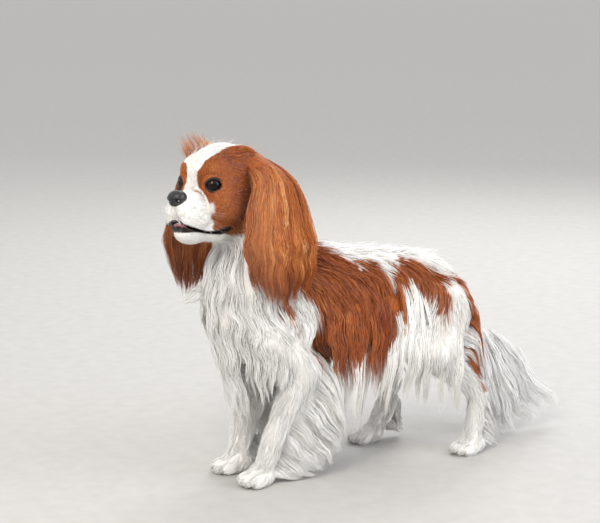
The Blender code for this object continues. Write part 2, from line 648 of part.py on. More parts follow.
def sheet_locks(name, sheet, group, rng):
    """Every lock of one sheet, in layers from the lowest to the one nearest the root."""
    span = np.linalg.norm(np.diff(np.array(sheet["rows"])[len(sheet["rows"]) // 2], axis=0), axis=1).sum()
    for start, end, count, lift in sheet["layers"]:
        for face in (1, -1) if sheet.get("both") else (1,):
            for k in range(count):
                across = min(max((k + rng.uniform(-0.2, 0.2)) / (count - 1), 0.02), 0.98)
                inner = 1 - abs(2 * across - 1) ** 3
                reach = end + rng.uniform(-0.07, 0.03)
                sway = rng.uniform(0.7, 1.1) * sheet["sway"]
                splay = rng.uniform(0.0, 1.0) * sheet["splay"] * inner
                places, out = lock_path(sheet, across, start + rng.uniform(0, 0.05), reach,
                                        lift * inner, sway, 2.0 * across + 3.0 * start, splay, face)
                width = sheet["width"] * span / count * rng.uniform(0.85, 1.15)
                make_lock("lock", places, out, width, sheet["thickness"] * rng.uniform(0.85, 1.15), group)


def add_coat(thing, names, parts, cutters, rng):
    """Joins a part, its cores of dense hair and all its locks into one solid."""
    strands = make_collection("strands")
    for name in names:
        sheet = SHEETS[name]
        core = sheet_slab("core", sheet, strands, sheet["core"], 4, 6)
        if thing is None:
            thing = put_object(name, core.data.copy(), parts)
            drop(core)
        sheet_locks(name, sheet, strands, rng)
    join = thing.modifiers.new("Join", "BOOLEAN")
    join.operation = "UNION"
    join.solver = "MANIFOLD"
    join.operand_type = "COLLECTION"
    join.collection = strands
    settle(thing)
    for strand in list(strands.objects):
        drop(strand)
    bpy.data.collections.remove(strands)
    keep_largest(thing)
    thin(thing, COAT_THINNING)
    return thing


def stretched_ball(name, centre, radii, axes, group, segments=18, rings=10):
    shape = bmesh.new()
    bmesh.ops.create_uvsphere(shape, u_segments=segments, v_segments=rings, radius=1.0)
    turn = Matrix(np.asarray(axes).T.tolist()).to_4x4()
    size = Matrix.Diagonal((*[float(r) for r in radii], 1.0))
    shape.transform(Matrix.Translation([float(c) for c in centre]) @ turn @ size)
    return bmesh_object(name, shape, group)


def eye_axes(side):
    """Rows: out of the eye, towards its outer corner, and up, in the world."""
    out = np.array([math.cos(EYE_TURN), side * math.sin(EYE_TURN), 0.06])
    corner = np.array([-math.sin(EYE_TURN), side * math.cos(EYE_TURN), -0.09])
    out, corner = unit(out), unit(corner)
    return np.array([out, corner, unit(np.cross(out, corner) * side)]) @ HEAD_AXES


def ball_axes(side):
    """A right-handed frame for the eyeball, with its pole out of the eye."""
    out, corner, up = eye_axes(side)
    return np.array([corner * side, up, out]) if np.linalg.det([corner * side, up, out]) > 0 else \
        np.array([-corner * side, up, out])


def lid_cutter(side, group, steps=14):
    """An almond outline drawn along the eye's axis, which opens the lids."""
    axes = eye_axes(side)
    shape = bmesh.new()
    rings = []
    for reach, swell in ((0.35, 0.72), (2.2, 1.25)):
        ring = []
        for k in range(steps):
            a = 2 * math.pi * k / steps
            across = math.cos(a) * LID_WIDTH
            lift = math.copysign(abs(math.sin(a)) ** 1.25, math.sin(a)) * (LID_RISE if math.sin(a) > 0 else LID_FALL)
            place = eye_centre(side) + axes[0] * reach * EYE_RADIUS + axes[1] * across * swell + axes[2] * lift * swell
            ring.append(shape.verts.new(place))
        rings.append(ring)
    for k in range(steps):
        shape.faces.new((rings[0][k], rings[1][k], rings[1][k - 1], rings[0][k - 1]))
    shape.faces.new(rings[0])
    shape.faces.new(reversed(rings[1]))
    bmesh.ops.triangulate(shape, faces=shape.faces)
    bmesh.ops.recalc_face_normals(shape, faces=shape.faces)
    return bmesh_object("lid_cutter", shape, group)


# The mouth seen from the side: forward, level of the lip line and half the opening there.
MOUTH = [(0.104, -0.034, 0.0030), (0.088, -0.0375, 0.0030), (0.0755, -0.0465, 0.0028), (0.057, -0.0560, 0.0020),
         (0.036, -0.0580, 0.0010), (0.014, -0.0540, 0.0003)]


def mouth_slab(name, stations, half_width, raise_by, thickness, group):
    """A thin slab across the head that follows the lip line."""
    shape = bmesh.new()
    rings = []
    for k, (x, z, half) in enumerate(stations):
        width, h = half_width(k / (len(stations) - 1)), thickness * half
        corners = [(x, width, z + raise_by - h), (x, width, z + raise_by + h),
                   (x, -width, z + raise_by + h), (x, -width, z + raise_by - h)]
        rings.append([shape.verts.new(p) for p in from_head(corners)])
    for near, far in zip(rings, rings[1:]):
        for k in range(4):
            shape.faces.new((near[k], near[k - 1], far[k - 1], far[k]))
    shape.faces.new(rings[0])
    shape.faces.new(reversed(rings[-1]))
    bmesh.ops.triangulate(shape, faces=shape.faces)
    bmesh.ops.recalc_face_normals(shape, faces=shape.faces)
    return bmesh_object(name, shape, group)


def make_nose(parts, cutters):
    nose = stretched_ball("nose", from_head([(0.0795, 0, NOSE_LEVEL)])[0], (0.0120, 0.0138, 0.0098), HEAD_AXES, parts, 12, 8)
    for side in (-1, 1):
        for centre, radii in (((0.0890, 0.0062, NOSE_LEVEL - 0.0018), (0.0060, 0.0030, 0.0030)),
                              ((0.0860, 0.0115, NOSE_LEVEL - 0.0030), (0.0070, 0.0050, 0.0012))):
            hole = stretched_ball("nostril", from_head([np.array(centre) * (1, side, 1)])[0], radii, HEAD_AXES,
                                  cutters, segments=7, rings=5)
            carve(nose, hole)
            drop(hole)
    groove = stretched_ball("groove", from_head([(0.0925, 0, NOSE_LEVEL - 0.010)])[0], (0.0045, 0.0009, 0.0080),
                            HEAD_AXES, cutters, segments=7, rings=5)
    carve(nose, groove)
    drop(groove)
    keep_largest(nose)
    return nose


def make_eye(name, side, parts):
    return stretched_ball(name, eye_centre(side), (EYE_RADIUS,) * 3, ball_axes(side), parts, 12, 8)


def make_head(nose, parts, cutters):
    head = head_seeds(parts)
    head.name = "head"
    shaped(head, 0.0021, 1900)
    below = box_cutter("below_head", HEAD_CUT[0], HEAD_CUT[1] * -1, (0.15, 0.15), 0.2, cutters)
    carve(head, below)
    drop(below)
    for side in (-1, 1):
        almond = lid_cutter(side, cutters)
        carve(head, almond)
        drop(almond)
        ball = stretched_ball("socket", eye_centre(side), (EYE_RADIUS + GAP,) * 3, ball_axes(side), cutters, 12, 8)
        carve(head, ball)
        drop(ball)
    slot = mouth_slab("mouth_slot", MOUTH, lambda share: 0.036, 0.0, 1.0, cutters)
    carve(head, slot)
    drop(slot)
    bigger = grown(nose, cutters, GAP)
    carve(head, bigger)
    drop(bigger)
    keep_largest(head)
    return head


def make_tongue(parts):
    """Lies along the middle of the mouth, clear of both lips."""
    known = np.array(MOUTH)[::-1]
    stations = []
    for x in (0.0785, 0.0755, 0.066, 0.057, 0.048):
        level, half = np.interp(x, known[:, 0], known[:, 1]), np.interp(x, known[:, 0], known[:, 2])
        stations.append((x, level, half - 0.0006))
    return mouth_slab("tongue", stations, lambda share: 0.0080 + 0.0035 * share, 0.0, 1.0, parts)


HEAD_CUT = (np.array([-0.172, 0.0, 0.352]), unit(np.array([-0.66, 0.0, 0.75])))
NECK_CUT = (np.array([-0.116, 0.0, 0.286]), unit(np.array([-0.50, 0.0, 0.866])))
CHEST_END = -0.062
RUMP_START = 0.058


def leg_cut(side, fore):
    """Where each leg leaves the body: middle of the cut, its direction and half sizes of its block."""
    if fore:
        elbow = np.array(FORELEG[side][1][0])
        return elbow + (-0.006, 0, 0.012), (-0.35, 0, -0.94), (0.050, 0.045)
    stifle = np.array(HINDLEG[side][1][0])
    return stifle + (0.020, side * 0.006, 0.006), (0.15, 0, -0.99), (0.050, 0.078)


def foot_top(name):
    x, y = PAWS[name]["place"]
    return (x, y, 0.036), (0, 0, -1), (0.055, 0.040)


def piece(name, base, keep, lose, parts, cutters):
    """The share of a form inside some blocks and outside others, with a thin gap at each border."""
    made = put_object(name, base.data.copy(), parts)
    for top, along, half, length in keep:
        block = box_cutter("block", top, along, half, length, cutters)
        carve(made, block, "INTERSECT")
        drop(block)
    for top, along, half, length in lose:
        along = unit(np.array(along, float))
        block = box_cutter("block", np.array(top) - along * CUT_THICKNESS, along,
                           (half[0] + CUT_THICKNESS, half[1] + CUT_THICKNESS), length, cutters)
        carve(made, block)
        drop(block)
    keep_largest(made)
    return made


def stand_clear(thing, neighbours, cutters):
    """Cuts a part clear of the parts beside it, by a thin gap."""
    for other in neighbours:
        for reach in (CUT_THICKNESS, 0.0):
            bigger = grown(other, cutters, reach)
            carve(thing, bigger)
            drop(bigger)
    keep_largest(thing)


def build():
    clear_scene()
    parts = make_collection("toy_spaniel")
    cutters = make_collection("cutters")
    whole = 0.4
    rng = random.Random(SEED)
    nose = make_nose(parts, cutters)
    eyes = {side: make_eye(name, side, parts) for name, side in (("eye_left", 1), ("eye_right", -1))}
    head = make_head(nose, parts, cutters)
    tongue = make_tongue(parts)

    ears = {}
    for name in ("ear_left", "ear_right"):
        tufts = [name, "ear_tuft"] if name == "ear_right" else [name]
        ears[name] = add_coat(None, tufts, parts, cutters, rng)
        stand_clear(ears[name], [head], cutters)

    base = body_seeds(cutters)
    shaped(base, 0.0045, 2400)

    legs, feet = [], []
    for name in PAWS:
        side = -1 if name.endswith("left") else 1
        fore = name.startswith("fore")
        joints = (FORELEG if fore else HINDLEG)[side]
        foot = paw_seeds(name, joints, cutters)
        shaped(foot, 0.0022, 260)
        lower = piece(name.replace("_", "paw_"), foot, [(*foot_top(name), 0.036)], [], parts, cutters)
        drop(foot)
        feet.append(lower)
        top, along, half = leg_cut(side, fore)
        lose = [(*foot_top(name), 0.2)]
        if fore:
            leg = piece(name.replace("_", "leg_"), base, [(top, along, half, 0.16)], lose, parts, cutters)
            add_coat(leg, ["feather" + name[4:]], parts, cutters, rng)
            stand_clear(leg, [lower], cutters)
            legs.append(leg)
        else:
            hock = (np.array(HINDLEG[side][3][0]) + (0, 0, 0.014), (0, 0, -1), (0.05, 0.04))
            leg = piece(name.replace("_", "leg_"), base, [(top, along, half, 0.2)], [(*hock, 0.2)], parts, cutters)
            pastern = piece("hock" + name[4:], base, [(*hock, 0.2)], lose, parts, cutters)
            add_coat(pastern, ["hock_fringe" + name[4:]], parts, cutters, rng)
            stand_clear(pastern, [lower, leg], cutters)
            legs += [leg, pastern]

    leg_blocks = [(*leg_cut(side, fore), 0.2) for side in (-1, 1) for fore in (True, False)]
    tail_block = ((0.184, 0.0, 0.228), (0.72, 0.0, -0.69), (0.03, 0.03), 0.25)
    tail = piece("tail", base, [tail_block], [], parts, cutters)
    add_coat(tail, ["plume"], parts, cutters, rng)

    head_block = (*HEAD_CUT, (whole, whole), whole)
    neck_block = (*NECK_CUT, (whole, whole), whole)
    neck = piece("neck", base, [neck_block], [head_block], parts, cutters)
    add_coat(neck, ["ruff"], parts, cutters, rng)
    stand_clear(neck, [head, *ears.values()], cutters)

    rear_block = ((CHEST_END, 0, 0.2), (1, 0, 0), (whole, whole), whole)
    chest = piece("chest", base, [], [neck_block, rear_block, *leg_blocks[::2]], parts, cutters)
    add_coat(chest, ["bib"], parts, cutters, rng)
    stand_clear(chest, [neck, *ears.values(), *legs[:1], legs[1]], cutters)

    rump_block = ((RUMP_START, 0, 0.2), (1, 0, 0), (whole, whole), whole)
    torso = piece("torso", base, [rear_block], [neck_block, rump_block, *leg_blocks], parts, cutters)
    add_coat(torso, ["skirt_left", "skirt_right"], parts, cutters, rng)
    stand_clear(torso, [chest, *legs], cutters)

    rump = piece("hindquarters", base, [rump_block], [tail_block, *leg_blocks[1::2]], parts, cutters)
    add_coat(rump, ["breech_left", "breech_right"], parts, cutters, rng)
    stand_clear(rump, [torso, *legs, tail], cutters)
    drop(base)

    made = list(parts.objects)
    low = np.min([vertex_array(thing.data).min(0) for thing in made], 0)
    high = np.max([vertex_array(thing.data).max(0) for thing in made], 0)
    shift = -np.array([(low[0] + high[0]) / 2, (low[1] + high[1]) / 2, low[2]])
    materials = {name: make_material(name, *look) for name, look in MATERIALS.items()}
    for thing in made:
        set_vertices(thing.data, vertex_array(thing.data) + shift)
        kind = NODE_MATERIALS.get(thing.name, "white_coat")
        thing.data.materials.clear()
        thing.data.materials.append(materials[kind])
        thing.data.shade_smooth()
        thing.data.set_sharp_from_angle(angle=math.radians(40))


NODE_MATERIALS = {
    "nose": "nose_leather", "eye_left": "eye_gloss", "eye_right": "eye_gloss", "tongue": "tongue_flesh",
    "ear_left": "chestnut_coat", "ear_right": "chestnut_coat", "torso": "chestnut_coat",
}

build()
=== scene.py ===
import functools
import json
import math

import bmesh
import bpy
import numpy as np
from mathutils import Matrix, Vector

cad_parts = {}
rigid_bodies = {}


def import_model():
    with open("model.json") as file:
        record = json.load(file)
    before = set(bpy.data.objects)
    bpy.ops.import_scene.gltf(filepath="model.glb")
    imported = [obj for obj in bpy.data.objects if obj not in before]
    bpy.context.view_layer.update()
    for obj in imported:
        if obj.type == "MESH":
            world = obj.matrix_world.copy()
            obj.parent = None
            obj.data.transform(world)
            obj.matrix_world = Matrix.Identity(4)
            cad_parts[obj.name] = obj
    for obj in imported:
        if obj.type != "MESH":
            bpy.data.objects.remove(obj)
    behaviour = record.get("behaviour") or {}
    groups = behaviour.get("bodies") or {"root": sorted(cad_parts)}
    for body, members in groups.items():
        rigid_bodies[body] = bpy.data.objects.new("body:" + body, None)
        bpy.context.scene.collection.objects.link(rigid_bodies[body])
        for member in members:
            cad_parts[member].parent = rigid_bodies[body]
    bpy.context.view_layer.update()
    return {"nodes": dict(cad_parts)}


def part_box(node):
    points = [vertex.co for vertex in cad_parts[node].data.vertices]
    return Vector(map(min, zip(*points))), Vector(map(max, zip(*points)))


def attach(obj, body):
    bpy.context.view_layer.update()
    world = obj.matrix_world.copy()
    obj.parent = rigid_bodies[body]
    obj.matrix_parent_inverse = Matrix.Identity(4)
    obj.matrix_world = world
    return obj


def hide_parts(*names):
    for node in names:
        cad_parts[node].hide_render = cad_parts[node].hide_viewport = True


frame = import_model()

# The animal is worked out in its own frame, facing -X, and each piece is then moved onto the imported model.
head = dict(centre=(-0.205, -0.010, 0.410), yaw=22.8, pitch=-1.2, roll=2.0)
eye = dict(place=(0.0324, 0.0214, 0.0005), radius=0.0120, turn=46, cornea=0.0007, halfWidth=0.0130,
           rise=0.0095, fall=0.0085, lid=0.0022, rim=0.0011)


# Lengths in the tables are in millimetres, and this makes them metres
def mm(rows):
    return np.round(np.array(rows, float) / 1000, 7)


def balls(rows):
    return [(row[:3], row[3:6], row[6]) for row in mm(rows)]


def chain(rows):
    return [(row[:3], row[3]) for row in mm(rows)]


# Rounded masses: centre, radii, and how softly each one blends into those before it.
trunk = balls([
    (-50, 0, 231, 122, 70, 86, 0), (-120, 0, 216, 62, 58, 70, 20), (-85, 0, 274, 60, 36, 45, 25),
    (55, 0, 235, 100, 56, 68, 30), (128, 0, 220, 70, 56, 66, 30), (-118, -46, 222, 44, 31, 62, 15),
    (-118, 46, 222, 44, 31, 62, 15)
])
skull = balls([  # forward, to the left and up from the middle of the head
    (-12, 0, 6, 52, 44, 44, 0), (20, 0, 18, 20, 26, 21, 10), (58, 0, -18, 30, 16.5, 15, 8),
    (0, 0, -40, 48, 34, 34, 12), (49, 0, -57, 35.5, 18.5, 18.3, 4)
])
faceSides = balls([  # these come in pairs
    (16, 17.5, 17, 23, 21.5, 19, 8), (24, 23.5, -3, 19, 18.5, 17.5, 6), (12, 29, -26, 35, 20.5, 29, 10),
    (62, 10, -29, 25.5, 15, 15, 6), (56.5, 12, -40, 27.5, 15, 16.5, 6), (16, 15, -59, 34, 18, 19, 10),
    (-26, 29, 28.5, 21, 15, 16.5, 12)
])
# Joints of the limbs, from the body outwards: place and flesh radius.
neck = chain([(-108, 0, 262, 64), (-145, -2, 325, 54), (-176, 0, 385, 47)])
tail = chain([(178, 0, 236, 20), (205, 3, 205, 13.5), (224, 5, 165, 11), (248, 5, 128, 8.5),
               (276, 3, 98, 6)])
legs = {
    "fore_left": chain([(-148, -50, 205, 34), (-98, -58, 155, 26), (-122, -53, 107, 18.5),
                         (-141, -48, 62, 15.5), (-151, -45, 30, 15)]),
    "fore_right": chain([(-148, 50, 205, 34), (-100, 56, 155, 26), (-124, 46, 107, 18.5),
                          (-143, 36, 62, 15.5), (-152, 30, 30, 15)]),
    "hind_left": chain([(138, -40, 212, 50), (112, -64, 160, 35), (150, -66, 120, 20),
                         (186, -64, 86, 14), (183, -64, 45, 13), (178, -65, 26, 14)]),
    "hind_right": chain([(128, 40, 212, 50), (82, 62, 158, 35), (108, 64, 118, 20), (124, 60, 84, 14),
                          (106, 58, 45, 13), (96, 58, 26, 14)]),
}
# Feet: middle of the sole, heading of the toes in degrees, length and width.
paws = {
    "fore_left": dict(place=(-0.162, -0.043), heading=192, length=0.058, width=0.044),
    "fore_right": dict(place=(-0.162, 0.029), heading=174, length=0.058, width=0.044),
    "hind_left": dict(place=(0.171, -0.066), heading=188, length=0.056, width=0.040),
    "hind_right": dict(place=(0.078, 0.058), heading=176, length=0.056, width=0.040),
}
toes = ((-1.5, 0.16), (-0.5, 0.27), (0.5, 0.27),
        (1.5, 0.16))  # sideways and forward, in shares of the foot
# The mouth from the side: forward, level of the lip line, half the opening, bare lip over and under it.
mouth = mm([(104, -46.4, 2.6, 3.1, 9.8), (83.7, -46.4, 2.6, 3.1, 9.8), (77.7, -48.8, 1.9, 2.4, 7.2),
            (70, -52, 1.8, 2.3, 3.6), (60.6, -55.3, 1.6, 2.1, 2.2), (48, -58.8, 1.4, 1.9, 2),
            (40, -60, 1.2, 2.6, 2.4), (32, -60, 0.9, 4.2, 3.8), (23.2, -58.2, 0.6, 4.6, 4.2),
            (16, -56.7, 0.3, 1.8, 1.8)])
mouthFront = dict(rise=0.0034, gape=0.0022)  # how much higher and wider it opens at the front


def unit(vectors):
    vectors = np.asarray(vectors, float)
    return vectors / np.maximum(np.linalg.norm(vectors, axis=-1, keepdims=True), 1e-12)


def lengths(vectors):
    return np.linalg.norm(vectors, axis=-1)


def circle(count):
    return np.linspace(0, 2 * math.pi, count, endpoint=False)


def bell(away, width):
    return np.exp(-(away / width) ** 2)


def headAxes():
    yaw, pitch, roll = (math.radians(head[k]) for k in ("yaw", "pitch", "roll"))
    forward = np.array([-math.cos(yaw) * math.cos(pitch), -math.sin(yaw) * math.cos(pitch),
                        math.sin(pitch)])
    level = unit(np.cross([0, 0, 1], forward))
    left = level * math.cos(roll) + np.cross(forward, level) * math.sin(roll)
    return np.array([forward, left, np.cross(forward, left)])


axes = headAxes()


def toHead(points):
    return (np.asarray(points, float) - head["centre"]) @ axes.T


def fromHead(points):
    return np.asarray(points, float) @ axes + head["centre"]


# The head's own frame with its right half folded onto the left, and each place's distance from the eye
def toHalfHead(points):
    q = toHead(points)
    q[:, 1] = np.abs(q[:, 1])
    return q, lengths(q - eye["place"])


def eyeCentre(side):
    x, y, z = eye["place"]
    return fromHead([[x, side * y, z]])[0]


shift = np.array((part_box("eye_left")[0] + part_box("eye_left")[1]) / 2) - eyeCentre(1)


def softJoin(a, b, reach):
    if reach <= 0:
        return np.minimum(a, b)
    share = np.clip(0.5 + 0.5 * (b - a) / reach, 0, 1)
    return b * (1 - share) + a * share - reach * share * (1 - share)


def ballDistance(points, centre, radii):
    q = points - np.asarray(centre, float)
    radii = np.asarray(radii, float)
    away = lengths(q / radii)
    return away * (away - 1) / np.maximum(lengths(q / radii**2), 1e-9)


def limbDistance(points, joints):
    best = np.full(len(points), 1e9)
    for (start, startRadius), (end, endRadius) in zip(joints, joints[1:]):
        along = np.subtract(end, start)
        share = np.clip((points - start) @ along / (along @ along), 0, 1)
        gone = lengths(points - start - share[:, None] * along)
        best = softJoin(best, gone - startRadius - (endRadius - startRadius) * share, 0.006)
    return best


def ballsForm(points, masses):
    field = np.full(len(points), 1e9)
    for centre, radii, reach in masses:
        field = softJoin(field, ballDistance(points, centre, radii), reach)
    return field


def headForm(points):
    q, socket = toHalfHead(points)
    field = ballsForm(q, skull + faceSides)
    field = -softJoin(-field, socket - eye["radius"] * 1.06, 0.003)  # the orbit is hollowed
    return softJoin(field, socket - eye["radius"] - eye["lid"] * 0.7, 0.004)  # and the lids lie on the ball


def toPaw(points, name):
    paw = paws[name]
    c, s = math.cos(math.radians(paw["heading"])), math.sin(math.radians(paw["heading"]))
    q = points - np.array([*paw["place"], 0.0])
    return np.stack([q[:, 0] * c + q[:, 1] * s, -q[:, 0] * s + q[:, 1] * c, q[:, 2]], 1)


def pawBalls(name):
    length, width = paws[name]["length"], paws[name]["width"]
    made = [((-0.10 * length, 0, 0.30 * width), (0.40 * length, 0.44 * width, 0.36 * width), 0.0)]
    for side, reach in toes:
        centre = (reach * length, side * 0.235 * width, 0.21 * width)
        made.append((centre, (0.26 * length, 0.165 * width, 0.24 * width), 0.0025))
    return made


def pawForm(points, name):
    return ballsForm(toPaw(points, name), pawBalls(name))


def near(points, centre, reach):
    return np.flatnonzero(((points - np.asarray(centre, float)) ** 2).sum(1) < reach**2)


# Signed distance to the outside of the short coat; forms too far away to matter are left out
def coatForm(points):
    points = np.asarray(points, float)
    field = np.full(len(points), 0.05)
    forms = [((-0.01, 0, 0.23), 0.26, 0.030, ballsForm, [trunk]),
             ((-0.145, 0, 0.325), 0.17, 0.025, limbDistance, [neck])]
    for name, joints in legs.items():
        soft = 0.012 if name.startswith("fore") else 0.014
        forms.append(((joints[0][0] + joints[-1][0]) / 2, 0.17, soft, limbDistance, [joints]))
    forms.append(((0.230, 0.003, 0.165), 0.13, 0.012, limbDistance, [tail]))
    for name, paw in paws.items():
        forms.append(((*paw["place"], 0.01), 0.065, 0.006, pawForm, [name]))
    forms.append((head["centre"], 0.135, 0.012, headForm, []))
    for centre, reach, soft, form, given in forms:
        picked = near(points, centre, reach)
        if len(picked):
            field[picked] = softJoin(field[picked], form(points[picked], *given), soft)
    return field


# The form's value and its outward direction at each point
def downhill(points, step=0.0004):
    value = coatForm(points)
    slopes = [coatForm(points + d) - value for d in np.eye(3) * step]
    return value, unit(np.stack(slopes, 1))


def uphill(points):
    return downhill(points)[1]


def onLevel(points, level, rounds=5):
    points = np.array(points, float)
    for _ in range(rounds):
        value, out = downhill(points)
        points -= out * np.clip(value - level, -0.008, 0.008)[:, None]
    return points


# How the short coat lies: place, direction, and last the length of hair and depth of coat, in millimetres.
bodyLie = [
    (-90, 0, 315, 1, 0, -0.15, 30, 8), (0, 0, 305, 1, 0, -0.05, 32, 8), (80, 0, 298, 1, 0, -0.1, 32, 8),
    (155, 0, 275, 0.8, 0, -0.5, 30, 8), (-125, 75, 255, 0.45, 0.1, -1, 28, 7),
    (-120, 78, 210, 0.25, 0, -1, 28, 7), (-50, 72, 265, 0.32, 0.1, -0.95, 38, 8),
    (-50, 76, 210, 0.22, 0, -1, 38, 8), (20, 66, 250, 0.2, 0.1, -0.95, 38, 8),
    (20, 66, 200, 0.05, 0, -1, 38, 8), (85, 60, 240, -0.15, 0.1, -1, 36, 8),
    (130, 66, 210, -0.12, 0, -1, 34, 8), (85, 66, 190, -0.35, 0, -1, 36, 8),
    (-40, 36, 300, 0.7, 0.4, -0.5, 34, 8), (50, 34, 294, 0.6, 0.4, -0.6, 34, 8),
    (120, 36, 276, 0.4, 0.3, -0.8, 34, 8), (175, 55, 200, 0.1, 0, -1, 30, 7),
    (150, 70, 150, 0.25, 0, -1, 28, 6), (190, 30, 225, 0.3, 0, -1, 30, 7),
    (-50, 0, 150, 1, 0, -0.3, 24, 5), (60, 0, 168, 1, 0, -0.3, 24, 5),
    (-190, 0, 240, -0.1, 0, -1, 34, 8), (-160, 0, 160, 0.4, 0, -1, 30, 7),
    (-190, 0, 320, 0.05, 0, -1, 26, 6), (-150, 55, 330, 0.4, 0, -1, 28, 6),
    (-110, 0, 375, 0.6, 0, -0.8, 26, 6), (-92, 20, 335, 0.9, 0, -0.45, 30, 7)
]
headLie = [  # in the head's own frame
    (74, 0, -4, -1, 0, 0.2, 3.2, 0.6), (45, 0, 10, -0.6, 0, 0.9, 3.6, 0.8),
    (34, 8, 36, -0.7, 0.1, 0.6, 5.5, 1.4), (0, 12, 52, -1, 0.1, 0, 9, 2),
    (-60, 10, 34, -0.7, 0.1, -0.7, 14, 3), (-26, 26, 44, -0.5, 0.85, 0.1, 15, 2.4),
    (36, 24, 26, -0.5, 0.5, 0.5, 4.2, 1), (0, 40, 22, -0.9, 0.3, -0.1, 8, 1.6),
    (34, 34, -20, -0.7, 0.5, -0.5, 3.8, 0.9), (12, 46, -26, -0.9, 0.1, -0.5, 7, 1.6),
    (-20, 36, -60, -0.7, 0, -0.8, 13, 3), (62, 24, -30, -0.8, 0.2, -0.5, 4, 0.9),
    (84, 12, -30, -0.2, 0.3, -1, 3.6, 0.8), (72, 4, -66, -0.7, 0.1, -0.5, 5.5, 1.2),
    (30, 6, -78, -1, 0, -0.4, 11, 2.4), (44, 14, 2, -0.4, 0.3, 0.8, 2.4, 0.4),
    (24, 37, 0, -0.9, 0.4, -0.2, 3, 0.5), (36, 28, 13, -0.6, 0.3, 0.6, 2.6, 0.4),
    (38, 29, -12, -0.5, 0.4, -0.6, 2.6, 0.4)
]
limbLie = dict(fore=[(40, 8), (34, 6.5), (20, 3.6), (16, 2.8), (15, 2.6)],
               hind=[(32, 8), (30, 7), (24, 4.5), (19, 2.9), (17, 2.6), (15, 2.4)],
               tail=[(30, 6), (34, 4), (34, 3.5), (34, 3), (30, 2)])
pawLie = [(0.028, 0.006, -0.35, (20, 2.8)), (0.012, 0.026, -0.40, (18, 2.4))]  # height, reach, dip, size


def lieTable():
    places, directions, sizes = [], [], []

    def add(place, direction, size):
        places.append(place)
        directions.append(unit(direction))
        sizes.append(size)

    for side in (-1, 1):
        mirror = np.array([1, side, 1])
        for row in bodyLie:
            add(mm(row[:3]) * mirror, row[3:6] * mirror, row[6:])
        for row in headLie:
            add(fromHead([mm(row[:3]) * mirror])[0], row[3:6] * mirror @ axes, row[6:])
    for name, joints in list(legs.items()) + [("tail", tail)]:
        spots = np.array([place for place, _ in joints])
        fall = np.gradient(spots, axis=0)
        for spot, along, size in zip(spots, fall, limbLie[name[:4]]):
            if name != "tail" and spot[2] > 0.14:  # long hair falls straight past the elbow and thigh
                along = along * 0.35 + np.array([0.006, 0, -0.05])
            add(spot, along, size)
    for name, paw in paws.items():
        turn = math.radians(paw["heading"])
        ahead = np.array([math.cos(turn), math.sin(turn), 0])
        for height, reach, dip, size in pawLie:
            add(np.array([*paw["place"], height]) + ahead * reach, ahead + (0, 0, dip), size)
    return np.array(places), np.array(directions), np.array(sizes) / 1000


liePlaces, lieDirections, lieSizes = lieTable()


# Direction of the hair, its length and the coat's depth at each point
def coatLie(points):
    away = ((points[:, None, :] - liePlaces[None]) ** 2).sum(-1)
    weight = 1 / (away + 0.008**2) ** 2
    weight /= weight.sum(1, keepdims=True)
    sizes = weight @ lieSizes
    return unit(weight @ lieDirections), sizes[:, 0], sizes[:, 1]


